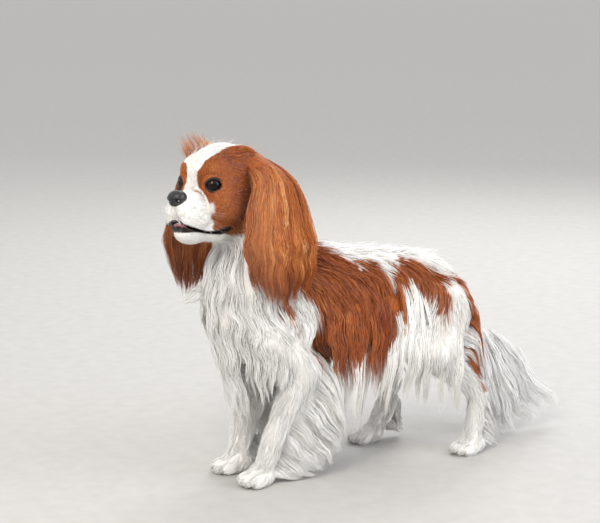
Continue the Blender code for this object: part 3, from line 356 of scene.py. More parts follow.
# Long coat: grids of places on the outer face of each sheet of hair, in rows from root to tip, and the
# sheet's depth at its root and tip. A core fills its middle, out to the given share of the way.
sheets = {
    "ear_left": dict(
        rows=[[-180, -36, 440,  -163, -30, 450.5,  -142, -18, 448],
              [-184, -68, 414,  -146, -78, 419,  -102, -55, 407],
              [-202, -77, 357,  -148, -96, 350,  -86, -72, 342],
              [-204, -80, 316,  -149, -100, 308,  -86, -77, 304],
              [-193, -83, 274,  -149, -92, 257,  -96, -81, 270]],
        out=(0, -1, 0.2), depth=(0.013, 0.01), core=0.5),
    "ear_right": dict(
        rows=[[-208, 32, 434,  -194, 36, 443,  -176, 36, 441],
              [-224, 60, 408,  -187, 80, 410,  -146, 74, 403],
              [-247, 56, 352,  -197, 88, 348,  -142, 86, 342],
              [-254, 52, 316,  -205, 82, 308,  -150, 86, 305],
              [-241, 50, 278,  -215, 62, 257,  -176, 78, 269]],
        out=(0, 1, 0.2), depth=(0.013, 0.01), core=0.5),
    "ear_tuft": dict(
        rows=[[-222, 28, 422,  -206, 33, 432,  -187, 34, 438],
              [-230, 37, 446,  -212, 38, 455,  -192, 38, 457],
              [-239, 40, 461,  -219, 42, 476,  -199, 42, 474]],
        out=(0, 1, 0), depth=(0.01, 0.008), core=0),
    "mane": dict(
        rows=[[-130, -48, 352,  -180, -40, 337,  -203, -4, 332,  -180, 36, 337,  -130, 48, 352],
              [-124, -61, 305,  -186, -53, 295,  -212, -2, 292,  -186, 51, 295,  -124, 61, 305],
              [-112, -70, 258,  -182, -63, 253,  -219, 0, 250,  -182, 63, 253,  -112, 70, 258],
              [-98, -73, 212,  -168, -69, 212,  -215, 0, 210,  -168, 69, 212,  -98, 73, 212],
              [-98, -71, 165,  -157, -64, 164,  -199, 0, 163,  -157, 64, 164,  -98, 71, 165],
              [-94, -67, 126,  -148, -53, 114,  -174, -2, 96,  -158, 46, 72,  -104, 62, 86]],
        out=(-1, 0, 0), depth=(0.016, 0.01), core=0.8, onBody=True),
    "breast_lock": dict(
        rows=[[-206, 14, 276,  -212, 0, 264],
              [-232, 8, 266,  -234, -4, 254],
              [-257, 0, 256,  -257, -6, 247]],
        out=(-0.3, 0, 1), depth=(0.006, 0.003), core=0),
    "skirt_left": dict(
        rows=[[-66, -50, 276,  0, -46, 276,  56, -42, 272,  100, -46, 262,  140, -52, 244],
              [-67, -71, 222,  0, -72, 222,  54, -67, 218,  96, -71, 208,  139, -84, 196],
              [-64, -76, 170,  -4, -75, 164,  44, -73, 160,  87, -82, 156,  138, -95, 140],
              [-50, -72, 106,  -10, -68, 74,  34, -64, 84,  82, -74, 88,  146, -82, 58]],
        out=(0, -1, 0), depth=(0.014, 0.01), core=0.62, onBody=True),
    "feather_left": dict(
        rows=[[-88, -62, 182,  -104, -60, 132,  -130, -53, 80,  -148, -48, 36,  -156, -46, 18],
              [-64, -74, 148,  -74, -71, 100,  -104, -63, 56,  -136, -53, 22,  -144, -50, 11],
              [-47, -74, 114,  -52, -72, 66,  -82, -65, 28,  -120, -56, 9,  -128, -53, 6],
              [-42, -68, 74,  -38, -66, 42,  -62, -62, 11,  -102, -57, 3,  -112, -54, 2]],
        out=(0, -1, 0), depth=(0.02, 0.01), core=0.24, coreAcross=(0.14, 0.84)),
    "feather_right": dict(
        rows=[[-90, 57, 182,  -104, 54, 132,  -132, 45, 80,  -149, 34, 36,  -158, 31, 18],
              [-66, 68, 148,  -78, 64, 100,  -108, 52, 56,  -138, 38, 22,  -148, 33, 11],
              [-51, 68, 114,  -58, 64, 66,  -88, 53, 28,  -124, 40, 9,  -134, 35, 6],
              [-47, 62, 74,  -46, 58, 42,  -70, 50, 11,  -108, 40, 3,  -118, 36, 2]],
        out=(0, 1, 0), depth=(0.02, 0.01), core=0.24, coreAcross=(0.14, 0.84)),
    "breech_left": dict(
        rows=[[165, -45, 225,  150, -62, 185,  140, -68, 150],
              [200, -42, 205,  187, -60, 165,  174, -68, 130],
              [214, -38, 156,  208, -52, 120,  196, -62, 96]],
        out=(0, -1, 0), depth=(0.022, 0.008), core=0.4),
    "breech_right": dict(
        rows=[[155, 45, 225,  130, 62, 185,  102, 68, 150],
              [192, 42, 200,  162, 60, 160,  132, 68, 128],
              [202, 38, 152,  170, 52, 116,  148, 60, 94]],
        out=(0, 1, 0), depth=(0.022, 0.008), core=0.4),
    "hock_fringe_left": dict(
        rows=[[190, -63, 104,  184, -64, 62,  180, -65, 28],
              [206, -67, 80,  203, -71, 42,  200, -72, 12],
              [215, -67, 50,  220, -71, 18,  224, -73, 3]],
        out=(0, -1, 0), depth=(0.016, 0.018), core=0.24),
    "hock_fringe_right": dict(
        rows=[[124, 60, 70,  112, 58, 46,  100, 58, 26],
              [133, 64, 50,  126, 65, 30,  118, 65, 12],
              [139, 64, 28,  139, 65, 10,  137, 66, 3]],
        out=(0, 1, 0), depth=(0.016, 0.018), core=0.24),
    "plume": dict(
        rows=[[194, -6, 224,  216, -10, 182,  234, -11, 164,  248, -9, 167],
              [208, -14, 158,  232, -20, 122,  260, -20, 112,  294, -13, 134],
              [218, -20, 96,  246, -24, 64,  288, -22, 54,  332, -13, 82],
              [230, -20, 34,  262, -22, 6,  314, -20, 9,  392, -12, 29]],
        out=(0, -1, 0), depth=(0.032, 0.026), core=0.5, coreAcross=(0.12, 0.8)),
}
for sheet in sheets.values():
    sheet["rows"] = mm(sheet["rows"]).reshape(len(sheet["rows"]), -1, 3)
farSkirt = sheets["skirt_left"]["rows"] * (1, -1, 1)
sheets["skirt_right"] = dict(sheets["skirt_left"], rows=farSkirt, out=(0, 1, 0))


# Which four rows a share of the way reaches, and their Catmull-Rom weights
def splineWeights(share, count):
    share = np.clip(share, -0.08, 1.08) * (count - 1)
    k = np.clip(share.astype(int), 0, count - 2)
    u = share - k
    weights = np.stack([-u**3 + 2 * u**2 - u, 3 * u**3 - 5 * u**2 + 2, -3 * u**3 + 4 * u**2 + u,
                        u**3 - u**2], -1)
    return k, weights / 2


def sheetPlace(grid, down, across):
    padded = np.concatenate([2 * grid[:1] - grid[1:2], grid, 2 * grid[-1:] - grid[-2:-1]])
    padded = np.concatenate([2 * padded[:, :1] - padded[:, 1:2], padded,
                             2 * padded[:, -1:] - padded[:, -2:-1]], 1)
    i, rowWeights = splineWeights(down, len(grid))
    j, columnWeights = splineWeights(across, grid.shape[1])
    place = np.zeros(down.shape + (3,))
    for a in range(4):
        for b in range(4):
            place += padded[i + a, j + b] * (rowWeights[..., a] * columnWeights[..., b])[..., None]
    return place


# Places on a sheet's outer face, and its outward direction
def sheetPoints(sheet, down, across):
    grid = sheet["rows"]
    down, across = np.broadcast_arrays(np.asarray(down, float), np.asarray(across, float))
    place = sheetPlace(grid, down, across)
    fall = unit(sheetPlace(grid, down + 0.01, across) - sheetPlace(grid, down - 0.01, across))
    side = unit(sheetPlace(grid, down, across + 0.01) - sheetPlace(grid, down, across - 0.01))
    out = unit(np.cross(fall, side))
    flip = np.sign((out * np.array(sheet["out"], float)).sum(-1).mean())
    return place, out * flip


def sheetDepth(sheet, down):
    root, tip = sheet["depth"]
    return root + (tip - root) * down


# Markings: outlines of the chestnut patches seen from the side, as lengths along the body and heights.
markings = dict(
    saddle=mm([(-110, 260), (-95, 330), (-45, 317), (-24, 300), (0, 282), (12, 286), (24, 291),
               (36, 278), (47, 250), (60, 272), (78, 287), (103, 280), (128, 262), (150, 257),
               (132, 246), (122, 215), (114, 196), (104, 222), (71, 221), (40, 180), (21, 150),
               (9, 124), (-12, 140), (-30, 118), (-50, 140), (-80, 156), (-90, 190), (-74, 211),
               (-86, 240)]),
    shoulder=mm([(-152, 242), (-137, 252), (-122, 242), (-124, 222), (-139, 226)]),
    thigh=mm([(152, 254), (222, 246), (208, 150), (190, 158), (174, 190), (158, 224)]),
    thighLow=mm([(176, 135), (216, 142), (216, 88), (188, 88)]),
    ragged=0.0045)


# A smooth random field about -1 to 1, with features of the given size
def ripple(points, size, seed, waves=9):
    rng = np.random.default_rng(seed)
    total = np.zeros(len(points))
    for _ in range(waves):
        pull = unit(rng.normal(size=3)) * 2 * math.pi / (size * rng.uniform(1.2, 2.6))
        total += np.sin(points @ pull + rng.uniform(0, 6.3))
    return total / waves * 2.2


def smoothStep(value, low, high):
    t = np.clip((value - low) / (high - low), 0, 1)
    return t * t * (3 - 2 * t)


# Signed distance into a closed outline, larger inside
def inOutline(points, outline):
    best = np.full(len(points), 1e9)
    inside = np.zeros(len(points), bool)
    for a, b in zip(outline, np.roll(outline, -1, axis=0)):
        along = b - a
        share = np.clip((points - a) @ along / (along @ along), 0, 1)
        best = np.minimum(best, lengths(points - a - share[:, None] * along))
        crosses = (a[1] > points[:, 1]) != (b[1] > points[:, 1])
        at = a[0] + (points[:, 1] - a[1]) * along[0] / (along[1] if abs(along[1]) > 1e-9 else 1e-9)
        inside ^= crosses & (points[:, 0] < at)
    return np.where(inside, best, -best)


def bodyPatch(points):
    x, y, z = points.T
    offset = np.where(y > 0, 0.010, 0.0)  # the far side's patches lie a little further back
    flat = np.stack([x - offset, z], 1)
    patch = np.maximum.reduce([inOutline(flat, markings[name]) for name in ("saddle", "thigh", "thighLow")])
    patch = np.maximum(patch, inOutline(flat + (0, 0.006) * (y > 0)[:, None], markings["shoulder"]))
    return np.minimum(patch, np.abs(y) - 0.014)


# Half widths of the white blaze at heights up the face, on the left and on the right.
blazeLeft = mm([(-22, 25), (-9.7, 11.6), (-1.7, 2), (10, 2.5), (17.2, 3.4), (24.4, 8.7), (34.6, 14.2),
                (44.9, 17.1), (56.5, 17.4), (64.7, 18.5), (80, 19)])
blazeRight = mm([(-22, 27), (-9.7, 20), (3.8, 13.6), (12.1, 14.9), (22.2, 14), (27.5, 19), (31, 29),
                 (45, 28), (65, 24), (80, 20)])


# How far forward the cheek's chestnut reaches at each height, and how low it goes at each length.
cheekFront = mm([(-60, 40.5), (-49, 42), (-34, 45.4), (-20, 46.2), (-9.7, 46), (-2, 60), (20, 65)])
cheekUnder = mm([(-40, -78), (0, -70), (30, -62.5)])


def headPatch(points):
    x, y, z = toHead(points).T
    edge = np.interp(z, *cheekFront.T)
    rise = z + 0.35 * np.clip(0.035 - x, 0, 0.09)
    halves = [np.interp(rise, *side.T) for side in (blazeLeft, blazeRight)]
    blaze = np.where(y > 0, halves[0], halves[1])
    under = z - np.interp(x, *cheekUnder.T)
    return np.minimum.reduce([edge - x, np.abs(y) - blaze, under])


headPlane = (np.array([-0.172, 0.0, 0.352]), unit([-0.66, 0.0, 0.75]))


# How chestnut the coat is at each point, from 0 for white to 1
def chestnutShare(points):
    onHead = (points - headPlane[0]) @ headPlane[1] > 0
    onBody = bodyPatch(points) + ripple(points, 0.012, 5) * markings["ragged"]
    onFace = headPatch(points) + ripple(points, 0.006, 6) * 0.0005
    blur = np.where(onHead, 0.0012, 0.0030)
    return smoothStep(np.where(onHead, onFace, onBody), -blur, blur)


# Level of the lip line, half its opening, and the bare lip over and under it
def lipLine(x, y):
    forward, *rows = mouth[::-1].T
    level, half, over, under = (np.interp(x, forward, row) for row in rows)
    front = smoothStep(x, 0.073, 0.080) * (1 - smoothStep(np.abs(y), 0.003, 0.015))
    gape = mouthFront["gape"] * front
    return level + mouthFront["rise"] * front, half + gape, over + gape, under + gape


# 1 on the bare skin of the lips and 0 where fur begins
def lipShare(points):
    x, y, z = toHead(points).T
    level, _, over, under = lipLine(x, y)
    away = np.where(z > level, z - level - over, level - z - under)
    away = np.maximum(away, np.maximum(0.016 - x, x - 0.099))
    return 1 - smoothStep(away, -0.0006, 0.0008)


# The edge of the open lids, an almond drawn on the eyeball
def lidPath(side, steps=40, height=0.0012):
    out = unit([math.cos(math.radians(eye["turn"])), side * math.sin(math.radians(eye["turn"])), 0.06])
    corner = unit([-math.sin(math.radians(eye["turn"])), side * math.cos(math.radians(eye["turn"])), -0.09])
    frameAxes = np.array([out, corner, unit(np.cross(out, corner) * side)]) @ axes
    angle = circle(steps)
    lift = np.sign(np.sin(angle)) * np.abs(np.sin(angle)) ** 1.25
    lift = lift * np.where(lift > 0, eye["rise"], eye["fall"])
    across = np.cos(angle) * eye["halfWidth"]
    reach = np.full(steps, 0.8)
    for _ in range(12):  # out along the opening's cone until it meets the lids' surface
        swell = 0.72 + (reach - 0.35) * 0.286
        place = np.stack([reach * eye["radius"], across * swell, lift * swell], 1)
        reach = np.clip(reach + (eye["radius"] + height - lengths(place)) / eye["radius"], 0.05, 2.0)
    return eyeCentre(side) + place @ frameAxes, frameAxes


# 1 on the dark rims of the lids
def lidShare(points):
    away = np.full(len(points), 1e9)
    for side in (-1, 1):
        path, _ = lidPath(side, 64)
        beside = lengths(points - eyeCentre(side)) < 0.022
        gap = lengths(points[beside][:, None] - path[None]).min(1)
        away[beside] = np.minimum(away[beside], gap)
    return 1 - smoothStep(away, 0.0018, 0.0032)


def newObject(name, data):
    made = bpy.data.objects.new(name, data)
    bpy.context.scene.collection.objects.link(made)
    return made


def meshObject(name, shape):
    mesh = bpy.data.meshes.new(name)
    shape.to_mesh(mesh)
    shape.free()
    return newObject(name, mesh)


def discard(thing):
    mesh = thing.data
    bpy.data.objects.remove(thing, do_unlink=True)
    bpy.data.meshes.remove(mesh)


# Turns an object's modifiers into its mesh
def settle(thing):
    bpy.context.view_layer.update()
    mesh = bpy.data.meshes.new_from_object(thing.evaluated_get(bpy.context.evaluated_depsgraph_get()))
    old = thing.data
    thing.modifiers.clear()
    thing.data = mesh
    bpy.data.meshes.remove(old)


def places(mesh):
    found = np.empty(len(mesh.vertices) * 3)
    mesh.vertices.foreach_get("co", found)
    return found.reshape(-1, 3)


def setPlaces(mesh, found):
    mesh.vertices.foreach_set("co", np.asarray(found, np.float32).ravel())
    mesh.update()


def setAttribute(mesh, name, values, kind="FLOAT"):
    made = mesh.attributes.new(name, kind, "POINT")
    made.data.foreach_set("value" if kind == "FLOAT" else "vector", np.asarray(values, np.float32).ravel())


def carve(thing, other, operation="DIFFERENCE"):
    cut = thing.modifiers.new("Carve", "BOOLEAN")
    cut.operation = operation
    cut.solver = "MANIFOLD"
    if isinstance(other, bpy.types.Collection):
        cut.operand_type = "COLLECTION"
        cut.collection = other
    else:
        cut.object = other
    settle(thing)


def addBall(shape, centre, radii, turn=np.eye(3), detail=3):
    place = Matrix.Translation([float(c) for c in centre]) @ Matrix(turn.T.tolist()).to_4x4()
    size = Matrix.Diagonal((*[float(r) for r in radii], 1.0))
    bmesh.ops.create_icosphere(shape, subdivisions=detail, radius=1.0, matrix=place @ size)


def addLimb(shape, joints, shrink):
    for (start, startRadius), (end, endRadius) in zip(joints, joints[1:]):
        length = math.dist(start, end)
        steps = max(2, int(length / (0.4 * min(startRadius, endRadius))))
        for share in np.linspace(0, 1, steps + 1):
            radius = startRadius + (endRadius - startRadius) * share - shrink
            addBall(shape, np.add(start, np.subtract(end, start) * share), [radius] * 3, detail=2)


# Splits the faces into triangles that all point outwards
def closeUp(shape):
    bmesh.ops.triangulate(shape, faces=shape.faces)
    bmesh.ops.recalc_face_normals(shape, faces=shape.faces)
    if shape.calc_volume(signed=True) < 0:
        bmesh.ops.reverse_faces(shape, faces=shape.faces)


# A skin over rings of places that have the same count, closed at both ends or joined in a loop
def loftRings(name, rings, closed=False):
    shape = bmesh.new()
    made = [[shape.verts.new(place) for place in ring] for ring in rings]
    pairs = list(zip(made, made[1:])) + ([(made[-1], made[0])] if closed else [])
    for near, far in pairs:
        for k in range(len(near)):
            shape.faces.new((near[k], near[k - 1], far[k - 1], far[k]))
    if not closed:
        shape.faces.new(made[0])
        shape.faces.new(reversed(made[-1]))
    closeUp(shape)
    return meshObject(name, shape)


# Voxel size of the welded skin, how far the cores of hair lie inside their sheets, and the height of the
# folds: the roll of the lips, the groove under the nose and the crease round the lids.
skinLook = dict(voxel=0.0031, coreInset=0.0035, lipRoll=0.0007, philtrum=0.0011, crease=0.0006)


# How far below the coat's outside the skin lies, with the folds of the face
def skinLevel(points):
    _, _, depth = coatLie(points)
    q, fromEye = toHalfHead(points)
    lids = 1 - smoothStep(fromEye, eye["radius"] + 0.003, eye["radius"] + 0.007)
    level = -depth * (1 - lids) - 0.0003 * lids
    level -= skinLook["crease"] * bell(fromEye - eye["radius"] - 0.0042, 0.0011)
    lip = lipShare(points)
    side = np.abs(q[:, 2] - lipLine(q[:, 0], q[:, 1])[0])
    roll = bell(side - 0.0026, 0.0018) * smoothStep(q[:, 0], 0.006, 0.020)
    level = level * (1 - lip) - 0.0002 * lip + skinLook["lipRoll"] * roll * lip
    front = smoothStep(q[:, 0], 0.078, 0.086) * smoothStep(-q[:, 2], 0.016, 0.020)
    front *= smoothStep(q[:, 2], -0.036, -0.032)
    return level - skinLook["philtrum"] * bell(q[:, 1], 0.0013) * front


# Splits each square face of a region into four
def refine(thing, wanted):
    shape = bmesh.new()
    shape.from_mesh(thing.data)
    chosen = wanted(places(thing.data))
    shape.verts.ensure_lookup_table()
    edges = [edge for edge in shape.edges if all(chosen[vert.index] for vert in edge.verts)]
    bmesh.ops.subdivide_edges(shape, edges=edges, cuts=1, use_grid_fill=True)
    shape.to_mesh(thing.data)
    shape.free()


def nearFace(points):
    q = toHead(points)
    return (q[:, 0] > 0.004) & (np.abs(q[:, 1]) < 0.045) & (q[:, 2] > -0.078) & (q[:, 2] < 0.045)


def nearFeatures(points):
    q, fromEye = toHalfHead(points)
    lip = np.abs(q[:, 2] - lipLine(q[:, 0], q[:, 1])[0]) < 0.0100
    return (lip & (q[:, 0] > 0.004)) | (fromEye < 0.0195)


def drawToSkin(thing):
    found = places(thing.data)
    found = onLevel(found, skinLevel(found), 4)
    found[:, 2] = np.maximum(found[:, 2], 0.0004)
    setPlaces(thing.data, found)


# The dense middle of a sheet of hair, well inside its outer face and out to the sheet's given share of the
# way to its tips
def sheetCore(name, sheet, rows=16, columns=18):
    sides = np.linspace(*sheet.get("coreAcross", (0.06, 0.94)), columns)
    down, across = np.meshgrid(np.linspace(0, sheet["core"], rows), sides, indexing="ij")
    outer, out = sheetPoints(sheet, down, across)
    depth = sheetDepth(sheet, down)
    ends = np.sqrt(np.clip(1.02 - down / sheet["core"], 0, 1))
    swell = np.clip(np.sqrt(np.clip(1 - np.abs(2 * across - 1) ** 4, 0.05, 1)) * ends, 0.12, 1)
    if sheet.get("onBody"):  # it grows out of the flesh behind it
        above = depth * (1 - 0.72 * swell * smoothStep(down, -0.05, 0.25))
        below = depth + 0.004
    else:
        half = np.clip(depth / 2 - skinLook["coreInset"] * 0.6, 0.0006, None) * swell
        above, below = depth / 2 - half, depth / 2 + half
    faces = [outer - out * above[..., None], outer - out * below[..., None]]
    shape = bmesh.new()
    top, under = [[[shape.verts.new(p) for p in row] for row in face] for face in faces]
    for i in range(rows - 1):
        for j in range(columns - 1):
            shape.faces.new((top[i][j], top[i + 1][j], top[i + 1][j + 1], top[i][j + 1]))
            shape.faces.new((under[i][j], under[i][j + 1], under[i + 1][j + 1], under[i + 1][j]))
    ring = [(i, 0) for i in range(rows)] + [(rows - 1, j) for j in range(1, columns)]
    ring += [(i, columns - 1) for i in range(rows - 2, -1, -1)]
    ring += [(0, j) for j in range(columns - 2, 0, -1)]
    for (i, j), (m, n) in zip(ring, ring[1:] + ring[:1]):
        shape.faces.new((top[i][j], under[i][j], under[m][n], top[m][n]))
    closeUp(shape)
    return meshObject(name, shape)


def lidRim(side):
    path, _ = lidPath(side, 44)
    away = unit(path - eyeCentre(side))
    along = unit(np.roll(path, -1, 0) - np.roll(path, 1, 0))
    beside = np.cross(along, away)
    angle = circle(10)
    return loftRings("lid_rim", [p + eye["rim"] * (np.cos(angle)[:, None] * a + np.sin(angle)[:, None] * b)
                                 for p, a, b in zip(path, away, beside)], closed=True)


def lidOpening(side):
    path, frameAxes = lidPath(side, 44)
    inner = eyeCentre(side) + (path - eyeCentre(side)) * 0.75
    outer = eyeCentre(side) + (path - eyeCentre(side)) * 1.12 + frameAxes[0] * 0.010
    return loftRings("lid_opening", [inner, path, outer])


def mouthOpening():
    rings = []
    across = np.array([0.040, 0.015, 0.011, 0.007, 0.003, -0.003, -0.007, -0.011, -0.015, -0.040])
    for x, *_ in mouth:
        level, half, _, _ = lipLine(np.full(10, x), across)
        over = np.stack([np.full(10, x), across, level + half], 1)
        under = np.stack([np.full(10, x), across, level - half], 1)
        rings.append(fromHead(np.concatenate([over, under[::-1]])))
    return loftRings("mouth_opening", rings)


def makeSkin():
    shape = bmesh.new()
    for centre, radii, _ in trunk:
        addBall(shape, centre, np.array(radii) - 0.007)
    for joints in [neck, tail] + list(legs.values()):
        addLimb(shape, joints, 0.002 if joints[1][1] < 0.03 else 0.006)
    for centre, radii, _ in skull:
        addBall(shape, fromHead([centre])[0], np.array(radii) - 0.001, axes)
    for side in (-1, 1):
        for centre, radii, _ in faceSides:
            addBall(shape, fromHead([np.multiply(centre, (1, side, 1))])[0], np.array(radii) - 0.001, axes)
        addBall(shape, eyeCentre(side), [eye["radius"] + eye["lid"]] * 3)
    for name in paws:
        turn = np.array(Matrix.Rotation(math.radians(paws[name]["heading"]), 3, "Z"))
        for centre, radii, _ in pawBalls(name):
            addBall(shape, np.array([*paws[name]["place"], 0.0]) + turn @ np.array(centre), radii, turn.T)
    skin = meshObject("skin", shape)
    weld = skin.modifiers.new("Weld", "REMESH")
    weld.mode = "VOXEL"
    weld.voxel_size = skinLook["voxel"]
    settle(skin)
    drawToSkin(skin)
    even = skin.modifiers.new("Even", "SMOOTH")
    even.factor = 0.5
    even.iterations = 3
    settle(skin)
    refine(skin, nearFace)
    refine(skin, nearFeatures)
    drawToSkin(skin)
    cores = bpy.data.collections.new("cores")
    bpy.context.scene.collection.children.link(cores)
    for name, sheet in sheets.items():
        if sheet["core"] > 0:
            core = sheetCore(name + "_core", sheet)
            cores.objects.link(core)
            bpy.context.scene.collection.objects.unlink(core)
    carve(skin, cores, "UNION")
    for core in list(cores.objects):
        discard(core)
    for side in (-1, 1):
        ball = bmesh.new()
        addBall(ball, eyeCentre(side), [eye["radius"] + 0.0001] * 3, detail=5)
        ball = meshObject("ball", ball)
        for cutter, operation in ((lidOpening(side), "DIFFERENCE"), (lidRim(side), "UNION"),
                                  (ball, "DIFFERENCE")):
            carve(skin, cutter, operation)
            discard(cutter)
    slot = mouthOpening()
    carve(skin, slot)
    discard(slot)
    found = places(skin.data)
    rims = np.maximum(lidShare(found), lipShare(found) * (coatForm(found) < 0.004))
    # inside marks the skin deep in the mouth and lid openings, painted dark partly as shade in these
    # recesses
    inside = smoothStep(-coatForm(found), 0.0030, 0.0060) * nearFeatures(found)
    onEar = np.zeros(len(found), bool)
    loose = np.flatnonzero(coatForm(found) > 0.0005)
    for name in ("ear_left", "ear_right"):
        down, across = np.meshgrid(np.linspace(0, 0.6, 16), np.linspace(0, 1, 12))
        middle = sheetPoints(sheets[name], down, across)[0].reshape(-1, 3)
        onEar[loose] |= (((found[loose, None] - middle[None]) ** 2).sum(-1).min(1) < 0.018**2)
    setAttribute(skin.data, "chestnut", np.where(onEar, 1.0, chestnutShare(found)))
    setAttribute(skin.data, "rim", rims)
    setAttribute(skin.data, "inside", inside)
    setAttribute(skin.data, "pad", smoothStep(0.004 - found[:, 2], 0.0, 0.003))
    skin.data.shade_smooth()
    return skin


# A hex colour on the screen's scale as the linear numbers that shaders use
def linear(colour):
    parts = [int(colour[k:k + 2], 16) / 255 for k in (1, 3, 5)]
    return [p / 12.92 if p <= 0.04045 else ((p + 0.055) / 1.055) ** 2.4 for p in parts] + [1.0]


# Links a node's inputs; where a whole node is given as the source, its first output is meant
def connect(node, links):
    for name, source in links.items():
        source = source.outputs[0] if hasattr(source, "outputs") else source
        node.id_data.links.new(source, node.inputs[name])


# Adds a node, sets its properties and sockets, and links its inputs
def addNode(tree, kind, settings=None, links=None):
    node = tree.nodes.new(kind)
    for name, value in (settings or {}).items():
        if isinstance(name, int) or name in node.inputs.keys():
            node.inputs[name].default_value = value
        else:
            setattr(node, name, value)
    connect(node, links or {})
    return node


# A new material, its way to add nodes, and its shader
def newMaterial(name, settings):
    material = bpy.data.materials.new(name)
    material.use_nodes = True
    shader = material.node_tree.nodes["Principled BSDF"]
    for key, value in settings.items():
        shader.inputs[key].default_value = value
    return material, functools.partial(addNode, material.node_tree), shader


def setRamp(ramp, stops):
    band = ramp.color_ramp
    while len(band.elements) < len(stops):
        band.elements.new(0.5)
    for element, (place, colour) in zip(band.elements, stops):
        element.position = place
        element.color = linear(colour)
    return ramp


coatColours = dict(
    white=[(0.0, "#EAE6DF"), (0.35, "#F3F1EC"), (0.7, "#FAF9F7"), (1.0, "#FDFDFC")],
    chestnut=[(0.0, "#521D06"), (0.3, "#823510"), (0.6, "#B56022"), (0.85, "#DD9250"), (1.0, "#F0BE8C")],
    patchScale=160.0, patchShare=0.28,  # patches of 6 mm, lighter and darker with sun and wear
    # rootShade, rootReach, whiteRoot and chestnutRoot set the painted shade that darkens the hair near its
    # root
    rootShade="#8A6A52", rootReach=0.26, whiteRoot=0.04, chestnutRoot=0.60)


# Silky hair: keratin with a soft broken sheen, darkened at the root by painted shade deep in the coat and
# lighter where it has weathered
def silkMaterial():
    material, add, shader = newMaterial("silky_dog_hair",
                                        {"Roughness": 0.5, "Specular IOR Level": 0.4, "Sheen Weight": 0.2,
                                         "Sheen Roughness": 0.4})
    tone, share, along = (add("ShaderNodeAttribute", {"attribute_name": name}).outputs["Fac"]
                          for name in ("tone", "chestnut", "along"))
    spots = add("ShaderNodeTexCoord").outputs["Object"]
    streaks = add("ShaderNodeTexNoise", {"Scale": coatColours["patchScale"], "Detail": 3.0,
                                         "Roughness": 0.6}, {"Vector": spots})
    mixed = add("ShaderNodeMath", {"operation": "MULTIPLY_ADD", 1: coatColours["patchShare"]},
                {0: streaks, 2: tone})
    level = add("ShaderNodeMath", {"operation": "SUBTRACT", 1: coatColours["patchShare"] / 2}, {0: mixed})
    white, chestnut = (setRamp(add("ShaderNodeValToRGB", None, {"Fac": level}), coatColours[name])
                       for name in ("white", "chestnut"))
    both = add("ShaderNodeMix", {"data_type": "RGBA"}, {0: share, 6: white, 7: chestnut})
    # Painted shade: hair is darkened towards rootShade near the root, much more on chestnut than on white
    least, most = coatColours["whiteRoot"], coatColours["chestnutRoot"]
    darkest = add("ShaderNodeMath", {"operation": "MULTIPLY_ADD", 1: most - least, 2: least}, {0: share})
    root = add("ShaderNodeMapRange", {"From Max": coatColours["rootReach"], "To Max": 0.0},
               {"Value": along, "To Min": darkest})
    shaded = add("ShaderNodeMix", {"data_type": "RGBA", "blend_type": "MULTIPLY",
                                   7: linear(coatColours["rootShade"])}, {0: root, 6: both.outputs[2]})
    connect(shader, {"Base Color": shaded.outputs[2]})
    return material


# Skin under the coat: short fine hair pressed flat, with bare black lips and lid rims, grey pads, and a dark
# red-brown inside the mouth and lids that is partly painted shade
def hideMaterial():
    material, add, shader = newMaterial("skin_and_down",
                                        {"Specular IOR Level": 0.35, "Subsurface Weight": 0.06,
                                         "Subsurface Radius": (0.004, 0.0016, 0.001)})
    spots = add("ShaderNodeTexCoord").outputs["Object"]
    picked = {name: add("ShaderNodeAttribute", {"attribute_name": name}).outputs["Fac"]
              for name in ("chestnut", "rim", "inside", "pad")}
    uneven = add("ShaderNodeTexNoise", {"Scale": 220.0, "Detail": 4.0}, {"Vector": spots})
    mottle = add("ShaderNodeTexNoise", {"Scale": 260.0, "Detail": 3.0, "Roughness": 0.7},
                 {"Vector": spots})  # 4 mm blotches of pigment on the lips
    tones = ((uneven, [(0.3, "#F0ECE6"), (0.7, "#FAF8F5")]), (uneven, [(0.3, "#783A12"), (0.7, "#AC5C22")]),
             (mottle, [(0.42, "#0E0A0B"), (0.58, "#1E1719"), (0.74, "#5A4446")]))
    white, chestnut, bare = (setRamp(add("ShaderNodeValToRGB", None, {"Fac": source}), stops)
                             for source, stops in tones)
    colour = white
    # The dark red-brown inside the mouth and lids is partly their own colour and partly painted shade
    for name, other in (("chestnut", chestnut), ("pad", "#4A4346"), ("inside", "#2A1012"), ("rim", bare)):
        mix = add("ShaderNodeMix", {"data_type": "RGBA"}, {0: picked[name], 6: colour})
        if isinstance(other, str):
            mix.inputs[7].default_value = linear(other)
        else:
            connect(mix, {7: other})
        colour = mix.outputs[2]
    wet = add("ShaderNodeMapRange", {"To Min": 0.75, "To Max": 0.42}, {"Value": picked["rim"]})
    hairs = add("ShaderNodeTexNoise", {"Scale": 1400.0, "Detail": 2.0}, {"Vector": spots})
    raised = add("ShaderNodeBump", {"Strength": 0.5, "Distance": 0.0005}, {"Height": hairs})
    connect(shader, {"Base Color": colour, "Roughness": wet, "Normal": raised})
    return material


# A dog's nose leather: moist skin in pebbles about 1 mm across, black with a grey bloom
def leatherMaterial():
    material, add, shader = newMaterial("nose_leather",
                                        {"Roughness": 0.38, "Specular IOR Level": 0.5, "Coat Weight": 0.25,
                                         "Coat Roughness": 0.25})
    spots = add("ShaderNodeTexCoord").outputs["Object"]
    pebbles = add("ShaderNodeTexVoronoi", {"Scale": 900.0}, {"Vector": spots})
    bloom = add("ShaderNodeTexNoise", {"Scale": 180.0, "Detail": 3.0}, {"Vector": spots})
    colour = setRamp(add("ShaderNodeValToRGB", None, {"Fac": bloom}), [(0.3, "#0D0C0E"), (0.7, "#1D1B1E")])
    raised = add("ShaderNodeBump", {"Strength": 0.35, "Distance": 0.0004}, {"Height": pebbles})
    connect(shader, {"Base Color": colour, "Normal": raised})
    return material


